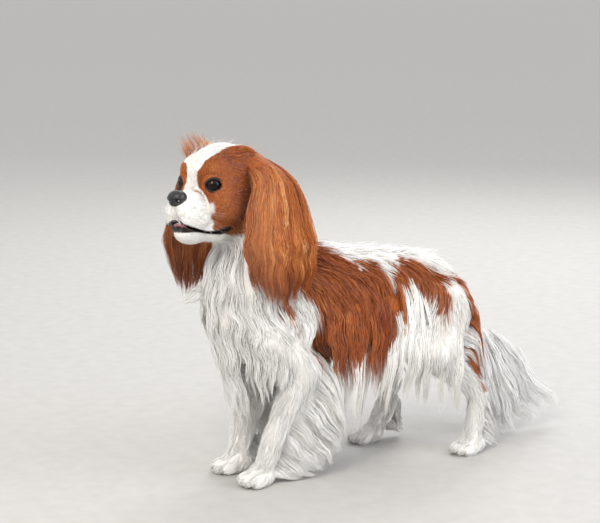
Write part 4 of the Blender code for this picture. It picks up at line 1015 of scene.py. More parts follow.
# A wet eye: very dark brown iris with fine fibres round a black pupil, glossy with tears
def eyeMaterial():
    material, add, shader = newMaterial("wet_eye",
                                        {"Roughness": 0.05, "IOR": 1.38, "Specular IOR Level": 0.4})
    spots = add("ShaderNodeTexCoord").outputs["Object"]
    ring = add("ShaderNodeAttribute", {"attribute_name": "ring"}).outputs["Fac"]
    fibres = add("ShaderNodeTexNoise", {"Scale": 900.0, "Detail": 3.0}, {"Vector": spots})
    moved = add("ShaderNodeMath", {"operation": "MULTIPLY_ADD", 1: 0.10}, {0: fibres, 2: ring})
    colour = setRamp(add("ShaderNodeValToRGB", None, {"Fac": moved}),
                     [(0.36, "#030304"), (0.44, "#1C0D07"), (0.70, "#2A140A"), (0.86, "#0C0604"),
                      (0.94, "#1C1412"), (1.0, "#4A3C36")])
    connect(shader, {"Base Color": colour})
    return material


# Moist tongue, horn of a claw or a bristle: two close tones in a fine grain
def plainFlesh(name, low, high, scale, settings):
    material, add, shader = newMaterial(name, settings)
    spots = add("ShaderNodeTexCoord").outputs["Object"]
    grain = add("ShaderNodeTexNoise", {"Scale": scale, "Detail": 3.0}, {"Vector": spots})
    colour = setRamp(add("ShaderNodeValToRGB", None, {"Fac": grain}), [(0.3, low), (0.7, high)])
    raised = add("ShaderNodeBump", {"Strength": 0.2, "Distance": 0.0003}, {"Height": grain})
    connect(shader, {"Base Color": colour, "Normal": raised})
    return material


# Turns guide lines into flat tapered strands, each with a small patch of its own on the bake map
def strandTree():
    tree = bpy.data.node_groups.new("strands", "GeometryNodeTree")
    add = functools.partial(addNode, tree)
    tree.interface.new_socket("Geometry", in_out="INPUT", socket_type="NodeSocketGeometry")
    for name, kind in (("Sides", "Int"), ("Flatness", "Float"), ("Patch", "Float"),
                       ("Material", "Material")):
        tree.interface.new_socket(name, in_out="INPUT", socket_type="NodeSocket" + kind)
    tree.interface.new_socket("Geometry", in_out="OUTPUT", socket_type="NodeSocketGeometry")
    given = add("NodeGroupInput").outputs
    kinds = {"around": "FLOAT", "along": "FLOAT", "thick": "FLOAT", "out": "FLOAT_VECTOR",
             "spot": "FLOAT_VECTOR"}
    around, along, thick, out, spot = (
        add("GeometryNodeInputNamedAttribute", {"data_type": kind, "Name": name}).outputs["Attribute"]
        for name, kind in kinds.items())
    ring = add("GeometryNodeCurvePrimitiveCircle", {"Radius": 1.0}, {"Resolution": given["Sides"]})
    squeeze = add("ShaderNodeCombineXYZ", {"Y": 1.0, "Z": 1.0}, {"X": given["Flatness"]})
    flat = add("GeometryNodeTransform", None, {"Geometry": ring, "Scale": squeeze})
    turnShare = add("GeometryNodeSplineParameter").outputs["Factor"]
    profile = add("GeometryNodeStoreNamedAttribute",
                  {"data_type": "FLOAT", "domain": "POINT", "Name": "around"},
                  {"Geometry": flat, "Value": turnShare})
    lines = add("GeometryNodeMeshToCurve", None, {"Mesh": given["Geometry"]})
    facing = add("GeometryNodeSetCurveNormal", {"mode": "FREE"}, {"Curve": lines, "Normal": out})
    tubes = add("GeometryNodeCurveToMesh", {"Fill Caps": True},
                {"Curve": facing, "Profile Curve": profile, "Scale": thick})
    unrolled = add("ShaderNodeCombineXYZ", None, {"X": around, "Y": along})
    patch = add("ShaderNodeVectorMath", {"operation": "SCALE"},
                {"Vector": unrolled, "Scale": given["Patch"]})
    place = add("ShaderNodeVectorMath", {"operation": "ADD"}, {0: spot, 1: patch})
    mapped = add("GeometryNodeStoreNamedAttribute",
                 {"data_type": "FLOAT2", "domain": "CORNER", "Name": "OFBake"},
                 {"Geometry": tubes, "Value": place})
    real = add("GeometryNodeRealizeInstances", None, {"Geometry": mapped})
    finish = add("GeometryNodeSetMaterial", None, {"Geometry": real, "Material": given["Material"]})
    add("NodeGroupOutput", None, {"Geometry": finish})
    return tree


# lines is strands by points by 3; facing, thick and values are spread over it
def makeStrands(name, lines, facing, thick, values, spots, material, sides=3, flatness=0.45):
    count, rings = lines.shape[:2]
    lines = lines.copy()
    lines[..., 2] = np.maximum(lines[..., 2], thick + 0.0002)
    mesh = bpy.data.meshes.new(name)
    mesh.vertices.add(count * rings)
    mesh.vertices.foreach_set("co", (lines + shift).astype(np.float32).ravel())
    first = np.arange(count)[:, None] * rings + np.arange(rings - 1)
    mesh.edges.add(count * (rings - 1))
    mesh.edges.foreach_set("vertices", np.stack([first, first + 1], -1).astype(np.int32).ravel())
    setAttribute(mesh, "thick", np.broadcast_to(thick, (count, rings)))
    setAttribute(mesh, "out", np.broadcast_to(facing, lines.shape), "FLOAT_VECTOR")
    flatSpots = np.concatenate([spots, np.zeros((count, 1))], 1)
    setAttribute(mesh, "spot", np.repeat(flatSpots[:, None], rings, axis=1), "FLOAT_VECTOR")
    for key, value in values.items():
        setAttribute(mesh, key, np.broadcast_to(value, (count, rings)))
    made = newObject(name, mesh)
    grow = made.modifiers.new("Strands", "NODES")
    grow.node_group = strands
    sockets = {item.name: item.identifier for item in strands.interface.items_tree
               if item.in_out == "INPUT"}
    for key, value in (("Sides", sides), ("Flatness", flatness), ("Patch", 0.003), ("Material", material)):
        grow[sockets[key]] = value
    settle(made)
    for key in ("thick", "out", "spot", "around"):
        extra = made.data.attributes.get(key)
        if extra:
            made.data.attributes.remove(extra)
    made.data.shade_smooth()
    print(name, "-", count, "strands,", count * ((rings - 1) * sides * 2 + 2 * (sides - 2)), "triangles")
    return made


def taper(rings, root=0.55, tip=0.10):
    share = np.linspace(0, 1, rings)
    return np.where(share < 0.3, root + (1 - root) * share / 0.3,
                    1 - (1 - tip) * np.clip((share - 0.3) / 0.7, 0, 1) ** 1.6)


# Random places on the skin, thicker where wanted is larger
def scatterRoots(skin, count, wanted, rng):
    mesh = skin.data
    mesh.calc_loop_triangles()
    corners = np.empty(len(mesh.loop_triangles) * 3, np.int32)
    mesh.loop_triangles.foreach_get("vertices", corners)
    corners = places(mesh)[corners].reshape(-1, 3, 3)
    area = lengths(np.cross(corners[:, 1] - corners[:, 0], corners[:, 2] - corners[:, 0]))
    weight = area * wanted(corners.mean(1))
    picked = rng.choice(len(corners), count, p=weight / weight.sum())
    a, b = rng.random(count), rng.random(count)
    over = a + b > 1
    a[over], b[over] = 1 - a[over], 1 - b[over]
    first, second, third = np.moveaxis(corners[picked], 1, 0)
    return first + (second - first) * a[:, None] + (third - first) * b[:, None]


# Lines from each root along the lie of the coat, rising from the skin to the coat's outside
def combHair(roots, look, rng):
    rings = look["rings"]
    _, length, depth = coatLie(roots)
    length = length * rng.uniform(0.7, 1.15, len(roots)) * look.get("longer", 1)
    height = rng.uniform(look.get("lowest", 0.25), look.get("highest", 1.15), len(roots))
    astray = rng.normal(0, look["astray"], len(roots)) + ripple(roots, 0.030, 21) * look.get("waves", 0.25)
    here = onLevel(roots, -depth * 1.02, 2)
    lines, facing = [here], [uphill(here)]
    for k in range(1, rings):
        share = k / (rings - 1)
        lie, _, _ = coatLie(here)
        out = facing[-1]
        lie = unit(lie - out * (lie * out).sum(1, keepdims=True))
        beside = np.cross(out, lie)
        turn = (astray * (0.5 + 0.7 * share))[:, None]
        here = here + (lie * np.cos(turn) + beside * np.sin(turn)) * (length / (rings - 1))[:, None]
        value, out = downhill(here)
        level = -depth * (1 - height * share ** 0.8)
        here = here - out * np.clip(value - level, -0.01, 0.01)[:, None]
        lines.append(here)
        facing.append(out)
    return np.stack(lines, 1), np.stack(facing, 1)


# Draws each hair's outer half towards the nearest of a few leading hairs, so that they lie in tufts
def clump(lines, tuft, pull, rng):
    leaders = rng.choice(len(lines), max(1, len(lines) // tuft), replace=False)
    roots = lines[:, 0]
    nearest = np.empty(len(lines), int)
    for start in range(0, len(lines), 2000):
        block = slice(start, start + 2000)
        nearest[block] = ((roots[block, None] - roots[None, leaders]) ** 2).sum(-1).argmin(1)
    leading = leaders[nearest]
    share = np.linspace(0, 1, lines.shape[1])[None, :, None] ** 1.4
    return lines + (lines[leading] - lines) * share * pull, leading


# Golden spots over the eyes, and a darker crown towards the ears.
def headTone(points):
    q, _ = toHalfHead(points)
    change = np.zeros(len(points))
    for place, size, amount in toneSpots:
        change += amount * np.exp(-((q - place) ** 2).sum(1) / size**2)
    return change * onHead(points)


toneSpots = [((0.040, 0.024, 0.024), 0.010, 0.20), ((0.036, 0.036, -0.020), 0.012, 0.12),
             ((0.008, 0.034, 0.038), 0.020, -0.14), ((0.010, 0.046, -0.010), 0.014, -0.06)]


def makeShortCoat(name, skin, look, wanted, unwrap, seed):
    rng = np.random.default_rng(seed)
    roots = scatterRoots(skin, look["count"], wanted, rng)
    lines, facing = combHair(roots, look, rng)
    lines, leading = clump(lines, look["tuft"], look["pull"], rng)
    rings = look["rings"]
    middle = lines[:, int(0.65 * rings)]
    spread = look.get("toneSpread", 0.06)
    tone = look.get("tone", 0.54) + spread * rng.normal(size=len(roots))
    tone = tone + spread * rng.normal(size=len(roots))[leading]
    tone += 0.07 * ripple(roots, 0.035, 31) + headTone(roots)
    thick = look["width"] / 2 * taper(rings)[None] * rng.uniform(0.8, 1.25, (len(roots), 1))
    values = {"tone": tone[:, None], "along": np.linspace(0, 1, rings)[None],
              "chestnut": chestnutShare(middle)[:, None]}
    return makeStrands(name, lines, facing, thick, values, unwrap(roots), silk)


# Shares across and down as places on a bake map, with room for the last patch
def onMap(across, down):
    return np.stack([0.01 + 0.97 * np.clip(across, 0, 1), 0.01 + 0.97 * np.clip(down, 0, 1)], 1)


# The trunk unrolled: along the body, and round it
def roundBody(points):
    turn = np.arctan2(points[:, 1], points[:, 2] - 0.235) / (2 * math.pi) + 0.5
    return onMap((points[:, 0] + 0.26) / 0.50, turn)


# The head unrolled: from the nose back, and round it
def roundHead(points):
    q = toHead(points)
    turn = np.arctan2(q[:, 1], q[:, 2] + 0.015) / (2 * math.pi) + 0.5
    return onMap((0.10 - q[:, 0]) / 0.20, turn)


# Each leg unrolled in a quarter of the map: round it, and down it
def roundLegs(points):
    names = list(legs)
    away = np.stack([np.abs(limbDistance(points, legs[name])) for name in names], 1)
    which = away.argmin(1)
    spots = np.zeros((len(points), 2))
    for k, name in enumerate(names):
        mine = which == k
        line = np.array([place for place, _ in legs[name]])[::-1]
        middle = [np.interp(points[mine, 2], line[:, 2], line[:, axis]) for axis in (0, 1)]
        turn = np.arctan2(points[mine, 1] - middle[1], points[mine, 0] - middle[0]) / (2 * math.pi) + 0.5
        spots[mine, 0] = 0.01 + 0.47 * turn + 0.5 * (k % 2)
        spots[mine, 1] = 0.01 + 0.47 * np.clip(points[mine, 2] / 0.24, 0, 1) + 0.5 * (k // 2)
    return spots


def onHead(points):
    return (points - headPlane[0]) @ headPlane[1] > 0.004


def onLeg(points):
    x, y, z = points.T
    return ~onHead(points) & (z < 0.165) & (x < 0.20) & (np.abs(y) > 0.012)


def bareShare(points):
    return np.maximum(lidShare(points), lipShare(points) * onHead(points))


def faceWanted(points):
    q = toHead(points)
    face = onHead(points) & (q[:, 0] > 0.012) & (bareShare(points) < 0.3) & (coatForm(points) > -0.0045)
    return np.where(face, (0.006 / coatLie(points)[1]) ** 1.1, 0)  # denser where the hair is shorter


def skullWanted(points):
    q = toHead(points)
    crown = onHead(points) & (q[:, 0] <= 0.020) & (coatForm(points) < 0.0005)
    return crown.astype(float) * (bareShare(points) < 0.3)


def trunkWanted(points):
    rest = ~onHead(points) & ~onLeg(points) & (coatForm(points) < 0.0005)
    return rest * (1 + 0.5 * (points[:, 2] > 0.22) + 1.5 * (points[:, 0] > 0.215))


def legWanted(points):
    size = coatLie(points)[1]
    return onLeg(points) * (coatForm(points) < 0.0005) * (0.012 / size) ** 0.8 * (points[:, 2] > 0.003)


shortCoats = {
    "face_coat": dict(count=11200, rings=3, width=0.00060, astray=0.13, waves=0.08, tuft=3, pull=0.25,
                      lowest=0.4, toneSpread=0.030),
    "skull_coat": dict(count=5000, rings=4, width=0.0010, astray=0.14, waves=0.14, tuft=5, pull=0.4,
                       lowest=0.3, toneSpread=0.05),
    "trunk_coat": dict(count=9400, rings=4, width=0.0017, astray=0.12, waves=0.20, tuft=7, pull=0.5,
                       lowest=0.3, longer=0.9, tone=0.51),
    "leg_coat": dict(count=7400, rings=4, width=0.0011, astray=0.12, waves=0.14, tuft=6, pull=0.5,
                     lowest=0.3, highest=1.9, longer=1.1, toneSpread=0.04),
}


# Locks of hair fill each sheet. start and span are shares of the sheet from root to tip, and no hair
# passes end. A wave has its size and its length.
earLook = dict(locks=70, hairs=30, rings=11, width=0.00100, wave=(0.0030, 0.055), spread=0.0034, clump=0.50,
               start=(-0.06, 0.50), span=(0.75, 1.10), end=(0.92, 1.02), tone=0.60, chestnut=1, inset=0.05,
               uneven=0.09)
featherLook = dict(locks=78, hairs=23, rings=7, width=0.0011, wave=(0.0024, 0.050), spread=0.0035,
                   clump=0.62, start=(0.0, 0.45), span=(0.45, 0.95), end=(0.85, 1.05), tone=0.56, both=True)
breechLook = dict(locks=42, hairs=22, rings=7, width=0.0012, wave=(0.0018, 0.042), spread=0.0032,
                  clump=0.62, start=(0.0, 0.45), span=(0.45, 0.95), end=(0.85, 1.05), tone=0.54, both=True)
fringeLook = dict(locks=40, hairs=16, rings=5, width=0.0010, wave=(0.0012, 0.036), spread=0.0020, clump=0.6,
                  start=(0.0, 0.40), span=(0.5, 0.9), end=(0.8, 1.05), tone=0.55, both=True)
skirtLook = dict(locks=102, hairs=21, rings=7, width=0.0014, wave=(0.0020, 0.055), spread=0.0036,
                 clump=0.62, start=(-0.05, 0.62), span=(0.38, 0.70), end=(0.80, 1.06), tone=0.50)
longCoats = {
    "ear_left": earLook,
    "ear_right": earLook,
    "ear_tuft": dict(locks=30, hairs=8, rings=7, width=0.00048, wave=(0.0014, 0.030), spread=0.0034,
                     clump=0.25, start=(0.0, 0.20), span=(0.3, 1.0), end=(0.70, 1.04), tone=0.84,
                     chestnut=1, both=True),
    "mane": dict(locks=180, hairs=20, rings=7, width=0.0013, wave=(0.0034, 0.055), spread=0.0040,
                 clump=0.72, start=(-0.05, 0.78), span=(0.24, 0.46), end=(0.88, 1.06), tone=0.58),
    "breast_lock": dict(locks=5, hairs=12, rings=8, width=0.0010, wave=(0.0020, 0.045), spread=0.0018,
                        clump=0.8, start=(0.0, 0.20), span=(0.6, 1.0), end=(0.85, 1.04), tone=0.62,
                        both=True),
    "skirt_left": skirtLook,
    "skirt_right": skirtLook,
    "feather_left": featherLook,
    "feather_right": featherLook,
    "breech_left": breechLook,
    "breech_right": breechLook,
    "hock_fringe_left": fringeLook,
    "hock_fringe_right": fringeLook,
    # The plume's high tone is painted light, lifting its white against the shade among its strands
    "plume": dict(locks=122, hairs=25, rings=8, width=0.0014, wave=(0.0030, 0.070), spread=0.0045,
                  clump=0.60, start=(-0.03, 0.55), span=(0.45, 0.95), end=(0.78, 1.04), tone=0.76,
                  both=True),
}


def makeLongCoat(name, seed):
    sheet, look = sheets[name], longCoats[name]
    rng = np.random.default_rng(seed)
    locks, hairs, rings = look["locks"], look["hairs"], look["rings"]
    count = locks * hairs
    lead = np.repeat(np.arange(locks), hairs)
    grid, steps, half = sheet["rows"], np.linspace(0, 1, 20), np.full(20, 0.5)
    tall = lengths(np.diff(sheetPlace(grid, steps, half), axis=0)).sum()
    wide = lengths(np.diff(sheetPlace(grid, half, steps), axis=0)).sum()
    inset = look.get("inset", 0.0)
    lockAcross = inset + (1 - 2 * inset) * (rng.permutation(locks) + rng.uniform(0.1, 0.9, locks)) / locks
    deep = rng.uniform(0, 1, locks) ** (1.0 if look.get("both") else 1.3)
    low, high = look["start"]
    lockStart = low + (high - low) * rng.uniform(0, 1, locks)
    lockEnd = np.minimum(lockStart + rng.uniform(*look["span"], locks), rng.uniform(*look["end"], locks))
    size, wavelength = look["wave"]
    phase = 6.0 * lockAcross + rng.normal(0, 0.6, locks)
    lockSize = size * rng.uniform(0.5, 1.4, locks)
    lockTone = rng.normal(0, look.get("uneven", 0.075), locks)
    share = np.linspace(0, 1, rings)[None]
    start = (lockStart[lead] + rng.uniform(-0.05, 0.05, count)).clip(-0.07, 0.9)[:, None]
    end = (lockEnd[lead] + rng.normal(0, 0.028, count))[:, None]
    down = start + (end - start) * share
    gather = look["clump"] * share**1.3
    offset = rng.normal(0, look["spread"] / wide, count)[:, None]
    across = lockAcross[lead][:, None] + offset * (1 - gather)
    turn = 2 * math.pi * down * tall / wavelength + (phase[lead] + rng.normal(0, 0.3, count))[:, None]
    grow = np.clip(share * 2.2, 0, 1) * lockSize[lead][:, None]
    across = (across + grow / wide * np.sin(turn)).clip(-0.06, 1.06)
    place, out = sheetPoints(sheet, down, across)
    depth = sheetDepth(sheet, np.clip(down, 0, 1))
    inner = np.clip(deep[lead] + rng.normal(0, 0.10, count), 0, 1)[:, None]
    inner = inner * (0.95 if look.get("both") else 0.75)
    sink = (1 - np.clip(share * 3.0, 0, 1)) ** 1.5
    under = depth * inner + sink * depth * (1 - inner) * (0.0 if look.get("both") else 0.85)
    edge = 1 - np.abs(2 * np.clip(across, 0, 1) - 1) ** 3
    lift = (0.0008 + 0.5 * grow * np.cos(turn)) * edge
    lines = place + out * (lift - under)[..., None]
    # Hairs lying deeper in the sheet are painted darker, as painted shade inside the coat
    tone = look["tone"] + lockTone[lead] + rng.normal(0, 0.05, count) - 0.10 * inner[:, 0]
    tone = np.broadcast_to(tone[:, None], down.shape)
    if name in ("ear_left", "ear_right"):  # lighter over the middle as a painted highlight, darker towards the curled ends
        tone = tone + 0.10 * np.sin(np.clip(down, 0, 1) * math.pi) - 0.13 * smoothStep(down, 0.62, 1.0)
    chestnut = chestnutShare(lines[:, int(0.6 * rings)])[:, None]
    if "chestnut" in look:
        chestnut = np.full((count, 1), float(look["chestnut"]))
    if name.startswith("skirt"):  # the fringe under the belly loses its chestnut and grows darker towards its lowest hairs
        height = lines[..., 2] + rng.normal(0, 0.010, (count, 1)) - 0.012 * inner
        chestnut = chestnut * smoothStep(height, 0.112, 0.146)
        tone = tone - 0.16 * (1 - smoothStep(lines[..., 2], 0.10, 0.17))
    thick = look["width"] / 2 * taper(rings, 0.6, 0.12)[None] * rng.uniform(0.75, 1.3, (count, 1))
    values = {"tone": tone, "along": share, "chestnut": chestnut}
    spots = onMap(lockAcross[lead] + offset[:, 0], start[:, 0])
    return makeStrands(name + "_coat", lines, out, thick, values, spots, silk)


# An eyeball whose pole faces out of the lids, with the clear swelling of the cornea over the iris
def makeEye(name, side):
    _, (out, corner, up) = lidPath(side, 8)
    fromPole = np.linspace(0, math.pi, 41)[:, None]
    around = circle(56)[None]
    reach = eye["radius"] + eye["cornea"] * np.exp(-((fromPole / 0.62) ** 4))
    spots = (np.cos(fromPole)[..., None] * out + (np.sin(fromPole) * np.cos(around))[..., None] * corner
             + (np.sin(fromPole) * np.sin(around))[..., None] * up) * reach[..., None]
    spots = spots[1:-1] + eyeCentre(side)
    shape = bmesh.new()
    rings = [[shape.verts.new(p) for p in ring] for ring in spots]
    ends = [shape.verts.new(eyeCentre(side) + out * (eye["radius"] + eye["cornea"])),
            shape.verts.new(eyeCentre(side) - out * eye["radius"])]
    for near, far in zip(rings, rings[1:]):
        for k in range(len(near)):
            shape.faces.new((near[k], near[k - 1], far[k - 1], far[k]))
    for ring, end in ((rings[0], ends[0]), (rings[-1], ends[1])):
        for k in range(len(ring)):
            shape.faces.new((ring[k], ring[k - 1], end))
    bmesh.ops.recalc_face_normals(shape, faces=shape.faces)
    ball = meshObject(name, shape)
    found = places(ball.data)
    flat = found - eyeCentre(side)
    polar = np.arccos(np.clip(unit(flat) @ out, -1, 1))
    setAttribute(ball.data, "ring", np.where(polar < math.pi / 2, np.sin(polar), 1))
    return finishPiece(ball, wetEye)


noseLook = dict(place=(0.0787, 0, -0.0125), radii=(0.0112, 0.0126, 0.0112), nostril=(0.0066, -0.0014),
                nostrilSize=0.0030, depth=0.0070, slit=0.0022, groove=0.0020, wing=0.0008)


# A rounded pad with two nostrils that run out into slits at the sides, and a groove down the middle
def makeNose():
    shape = bmesh.new()
    bmesh.ops.create_icosphere(shape, subdivisions=5, radius=1.0)
    pad = meshObject("nose_pad", shape)
    ball = places(pad.data)
    x, y, z = ball.T
    boxy = 1 + 0.10 * (1 - (np.abs(y) ** 4 + np.abs(z) ** 4))  # a little squarer than a ball
    q = np.stack([x, y, z], 1) * np.array(noseLook["radii"]) * boxy[:, None]
    q[:, 1] *= 1 - 0.26 * smoothStep(-z, 0.0, 1.0)  # narrower towards the lip
    side = np.abs(q[:, 1])
    front = smoothStep(x, -0.1, 0.35)
    hole = np.exp(-(((side - noseLook["nostril"][0]) / noseLook["nostrilSize"]) ** 2
                    + ((q[:, 2] - noseLook["nostril"][1]) / (noseLook["nostrilSize"] * 0.85)) ** 2))
    slitPath = noseLook["nostril"][1] - 0.0012 - 0.10 * (side - noseLook["nostril"][0])
    slit = bell(q[:, 2] - slitPath, 0.0009) * smoothStep(side, 0.0070, 0.0085)
    groove = bell(q[:, 1], 0.0008) * smoothStep(-q[:, 2], 0.0005, 0.0040)
    wing = np.exp(-(((side - 0.0085) / 0.0030) ** 2 + ((q[:, 2] - 0.0018) / 0.0026) ** 2))
    q[:, 0] -= front * (noseLook["depth"] * hole ** 1.5 + noseLook["groove"] * groove)
    q[:, 0] -= noseLook["slit"] * slit * smoothStep(x, -0.6, 0.0)
    q[:, 0] += noseLook["wing"] * wing * front
    q[:, 2] -= 0.0006 * smoothStep(x, 0.2, 0.9) * (z > 0.3)
    setPlaces(pad.data, fromHead(q + np.array(noseLook["place"])))
    return finishPiece(pad, noseSkin)


tongueLook = dict(tip=0.0825, length=0.040, halfWidth=0.0100, widening=0.0040, halfThickness=0.0024,
                  groove=0.0008)


# The edge of the tongue lying along the middle of the mouth
def makeTongue():
    rings = []
    for share in np.linspace(0, 1, 24):
        x = tongueLook["tip"] - tongueLook["length"] * share
        level, half, _, _ = (float(value) for value in lipLine(x, 0.0))
        wide = tongueLook["halfWidth"] + tongueLook["widening"] * share
        wide *= math.sqrt(max(0.06, 1 - (1 - min(share * 4.5, 1)) ** 2))
        thick = min(half - 0.0004, tongueLook["halfThickness"])
        level -= 0.8 * (half - thick)
        thick *= math.sqrt(max(0.10, 1 - (1 - min(share * 5, 1)) ** 2))
        angle = circle(28)
        dip = tongueLook["groove"] * bell(np.cos(angle) * wide, 0.003) * (np.sin(angle) > 0)
        ring = np.stack([np.full(28, x), np.cos(angle) * wide, level + np.sin(angle) * thick - dip], 1)
        rings.append(fromHead(ring))
    made = loftRings("tongue_edge", rings)
    return finishPiece(made, tongueFlesh)


clawLook = dict(length=0.0065, droop=0.0075, root=0.0016, tip=0.0005)


# Curved horn claws, one at the end of each toe
def makeClaws(name, pair):
    lines, spots = [], []
    for foot in pair:
        paw = paws[foot]
        turn = np.array(Matrix.Rotation(math.radians(paw["heading"]), 3, "Z"))
        for side, reach in toes:
            length, width = paw["length"], paw["width"]
            start = np.array([(reach + 0.15) * length, side * 0.235 * width, 0.24 * width])
            ahead = np.array([math.cos(side * 0.12), math.sin(side * 0.12), 0])
            steps = np.linspace(0, 1, 8)[:, None]
            line = start + ahead * steps * clawLook["length"]
            line = line - np.array([0, 0, 1.0]) * (0.12 * steps + 0.75 * steps**2.2) * clawLook["droop"]
            line = line @ turn.T + np.array([*paw["place"], 0])
            lines.append(line)
            spots.append((0.1 + 0.2 * len(spots) % 0.9, 0.5))
    steps = np.linspace(0, 1, 8)
    thick = clawLook["tip"] + (clawLook["root"] - clawLook["tip"]) * (1 - steps ** 1.5)
    values = {"tone": 0.5, "along": steps}
    return makeStrands(name, np.array(lines), (0, 0, 1.0), thick, values, np.array(spots), clawHorn,
                       sides=10, flatness=0.8)


whiskerLook = dict(perSide=12, length=(0.022, 0.040), thick=0.00024)


# Pale stiff hairs from the sides of the muzzle, swept back
def makeWhiskers():
    rng = np.random.default_rng(61)
    lines = []
    for side in (-1, 1):
        for _ in range(whiskerLook["perSide"]):
            root = np.array([rng.uniform(0.058, 0.080), 0, rng.uniform(-0.040, -0.021)])
            way = np.array([rng.uniform(-0.35, 0.25), side, rng.uniform(-0.55, 0.15)])
            root = fromHead([root + way * np.array([0, 0.020, 0])])[0]
            root = onLevel(root[None], -0.0006, 6)[0]
            way = unit(way @ axes)
            bend = unit(np.array([-0.9, side * 0.25, -0.55]) @ axes)
            length = rng.uniform(*whiskerLook["length"])
            steps = np.linspace(0, 1, 10)[:, None]
            lines.append(root + way * steps * length + bend * steps**2 * length * rng.uniform(0.25, 0.6))
    lines = np.array(lines)
    thick = whiskerLook["thick"] / 2 * (1 - 0.8 * np.linspace(0, 1, 10) ** 1.5)
    facing = unit(lines[:, :1] - np.array(head["centre"]))
    values = {"tone": 0.9, "along": 0.9, "chestnut": 0.0}
    return makeStrands("whiskers", lines, facing, thick, values, np.full((len(lines), 2), 0.5), bristle,
                       sides=4, flatness=1.0)


strayLook = dict(onSkull=80, onBack=70, thick=0.00018, droop=0.4)


# Loose fine hairs that stand off the skull and the back
def makeStrays():
    rng = np.random.default_rng(67)
    lines = []
    for k in range(strayLook["onSkull"] + strayLook["onBack"]):
        if k < strayLook["onSkull"]:
            root = fromHead([[rng.uniform(-0.05, 0.030), rng.uniform(-0.036, 0.036), 0.045]])[0]
            lie, rise = np.array([-1.0, rng.normal(0, 0.5), 0.10]) @ axes, 0.30
            length = rng.uniform(0.012, 0.026)
        else:
            root = np.array([rng.uniform(-0.10, 0.16), rng.uniform(-0.03, 0.03), 0.31])
            lie, rise = np.array([1.0, rng.normal(0, 0.25), 0.0]), 0.22
            length = rng.uniform(0.016, 0.030)
        root = onLevel(root[None], -0.001, 8)
        out = uphill(root)[0]
        lie = unit(unit(lie - out * (lie @ out)) + out * rng.uniform(0.3, 1.0) * rise * 2)
        steps = np.linspace(0, 1, 8)[:, None]
        droop = -out * rng.uniform(0.1, 0.5) + rng.normal(0, 0.25, 3)
        lines.append(root[0] + lie * steps * length + droop * steps**2 * length * strayLook["droop"])
    lines = np.array(lines)
    thick = strayLook["thick"] * (1 - 0.7 * np.linspace(0, 1, 8))
    values = {"tone": rng.uniform(0.5, 0.9, (len(lines), 1)), "along": 0.9,
              "chestnut": chestnutShare(lines[:, 0])[:, None]}
    return makeStrands("stray_hairs", lines, (0, 0, 1.0), thick, values, roundHead(lines[:, 0]), silk,
                       sides=3, flatness=1.0)


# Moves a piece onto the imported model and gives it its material
def finishPiece(piece, material):
    setPlaces(piece.data, places(piece.data) + shift)
    piece.data.materials.clear()
    piece.data.materials.append(material)
    piece.data.shade_smooth()
    return piece


silk = silkMaterial()
hide = hideMaterial()
noseSkin = leatherMaterial()
wetEye = eyeMaterial()
tongueFlesh = plainFlesh("tongue_flesh", "#A8616C", "#CC8F98", 500.0,
                         {"Roughness": 0.32, "Subsurface Weight": 0.1,
                          "Subsurface Radius": (0.003, 0.001, 0.0008)})
clawHorn = plainFlesh("claw_horn", "#6A5C50", "#B4A48E", 300.0, {"Roughness": 0.34})
bristle = plainFlesh("whisker_bristle", "#E4DFD6", "#F8F6F2", 400.0, {"Roughness": 0.4})
strands = strandTree()
print("materials and the strand tree are ready")

skin = makeSkin()
print("skin -", len(skin.data.polygons), "faces")
made = {
    "nose_leather": [makeNose()],
    "eye_gloss": [makeEye("eyeball_left", 1), makeEye("eyeball_right", -1)],
    "tongue": [makeTongue()],
}
coats = [
    makeShortCoat("face_coat", skin, shortCoats["face_coat"], faceWanted, roundHead, 11),
    makeShortCoat("skull_coat", skin, shortCoats["skull_coat"], skullWanted, roundHead, 12),
    makeShortCoat("trunk_coat", skin, shortCoats["trunk_coat"], trunkWanted, roundBody, 13),
    makeShortCoat("leg_coat", skin, shortCoats["leg_coat"], legWanted, roundLegs, 14),
]
for seed, name in enumerate(longCoats):
    coats.append(makeLongCoat(name, 40 + seed))
coats += [makeWhiskers(), makeStrays()]
claws = [makeClaws("fore_claws", ("fore_left", "fore_right")),
         makeClaws("hind_claws", ("hind_left", "hind_right"))]
print("coats are combed")

finishPiece(skin, hide)
flesh = [name for name in frame["nodes"] if name not in ("eye_left", "eye_right", "nose", "tongue")]
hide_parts(*flesh)
for piece in [skin] + coats + claws + sum(made.values(), []):
    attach(piece, "root")
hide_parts("nose")
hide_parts("tongue")
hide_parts("eye_left")
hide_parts("eye_right")


# Soft lights, and the camera: lens in millimetres, place, and where it looks in degrees.
studio = dict(lens=100, place=(-1.224, -1.919, 0.685), heading=31.0, down=10.0, key=58.0, fill=30.0,
              rim=30.0, sky=1.0)


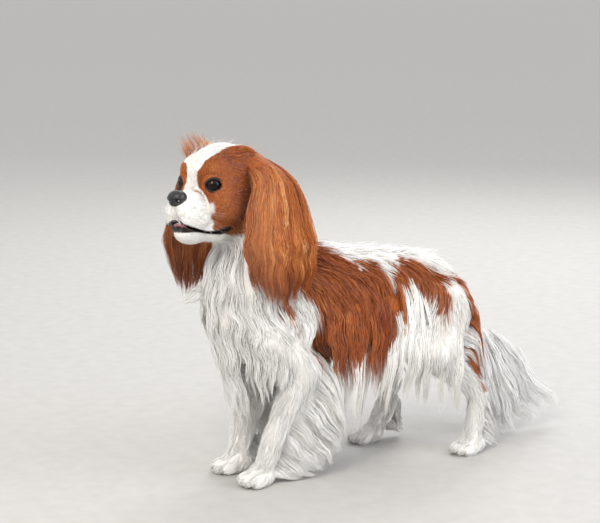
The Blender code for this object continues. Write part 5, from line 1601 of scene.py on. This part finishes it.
def makeStudio():
    shape = bmesh.new()
    bmesh.ops.create_grid(shape, x_segments=2, y_segments=2, size=60.0)
    floor = meshObject("studio_floor", shape)
    material, add, shader = newMaterial("painted_studio_floor", {"Roughness": 0.85})
    spots = add("ShaderNodeTexCoord").outputs["Object"]
    grain = add("ShaderNodeTexNoise", {"Scale": 40.0, "Detail": 2.0}, {"Vector": spots})
    colour = setRamp(add("ShaderNodeValToRGB", None, {"Fac": grain}), [(0.3, "#B9B7B3"), (0.7, "#BFBDB9")])
    connect(shader, {"Base Color": colour})
    floor.data.materials.append(material)
    for name, place, size, power, tint in (("key_light", (-2.0, -1.6, 2.4), 1.6, studio["key"], "#FFF9F0"),
                                           ("fill_light", (1.6, -1.8, 1.4), 2.0, studio["fill"], "#F0F5FF"),
                                           ("rim_light", (1.6, 1.5, 1.9), 1.4, studio["rim"], "#FFFFFF")):
        light = bpy.data.lights.new(name, "AREA")
        light.shape = "DISK"
        light.size = size
        light.energy = power
        light.color = linear(tint)[:3]
        lamp = newObject(name, light)
        lamp.location = np.array(place) + shift
        lamp.rotation_euler = (Vector((0, 0, 0.2)) - Vector(place)).to_track_quat("-Z", "Y").to_euler()
    world = bpy.data.worlds.new("pale_studio")
    world.use_nodes = True
    sky = world.node_tree
    upward = addNode(sky, "ShaderNodeTexCoord").outputs["Generated"]
    height = addNode(sky, "ShaderNodeSeparateXYZ", None, {"Vector": upward}).outputs["Z"]
    shade = addNode(sky, "ShaderNodeValToRGB", None, {"Fac": height})
    setRamp(shade, [(0.0, "#BDBDBC"), (0.28, "#F6F7F9")])  # meets the far floor without an edge
    connect(sky.nodes["Background"], {"Color": shade})
    sky.nodes["Background"].inputs["Strength"].default_value = studio["sky"]
    bpy.context.scene.world = world
    camera = bpy.data.cameras.new("camera")
    camera.lens = studio["lens"]
    camera.sensor_width = 36
    viewer = newObject("camera", camera)
    viewer.location = np.array(studio["place"]) + shift
    heading, down = math.radians(studio["heading"]), math.radians(studio["down"])
    ahead = Vector((math.sin(heading) * math.cos(down), math.cos(heading) * math.cos(down),
                    -math.sin(down)))
    viewer.rotation_euler = ahead.to_track_quat("-Z", "Y").to_euler()
    bpy.context.scene.camera = viewer
    bpy.context.scene.view_settings.view_transform = "Standard"


makeStudio()
print("studio is set")
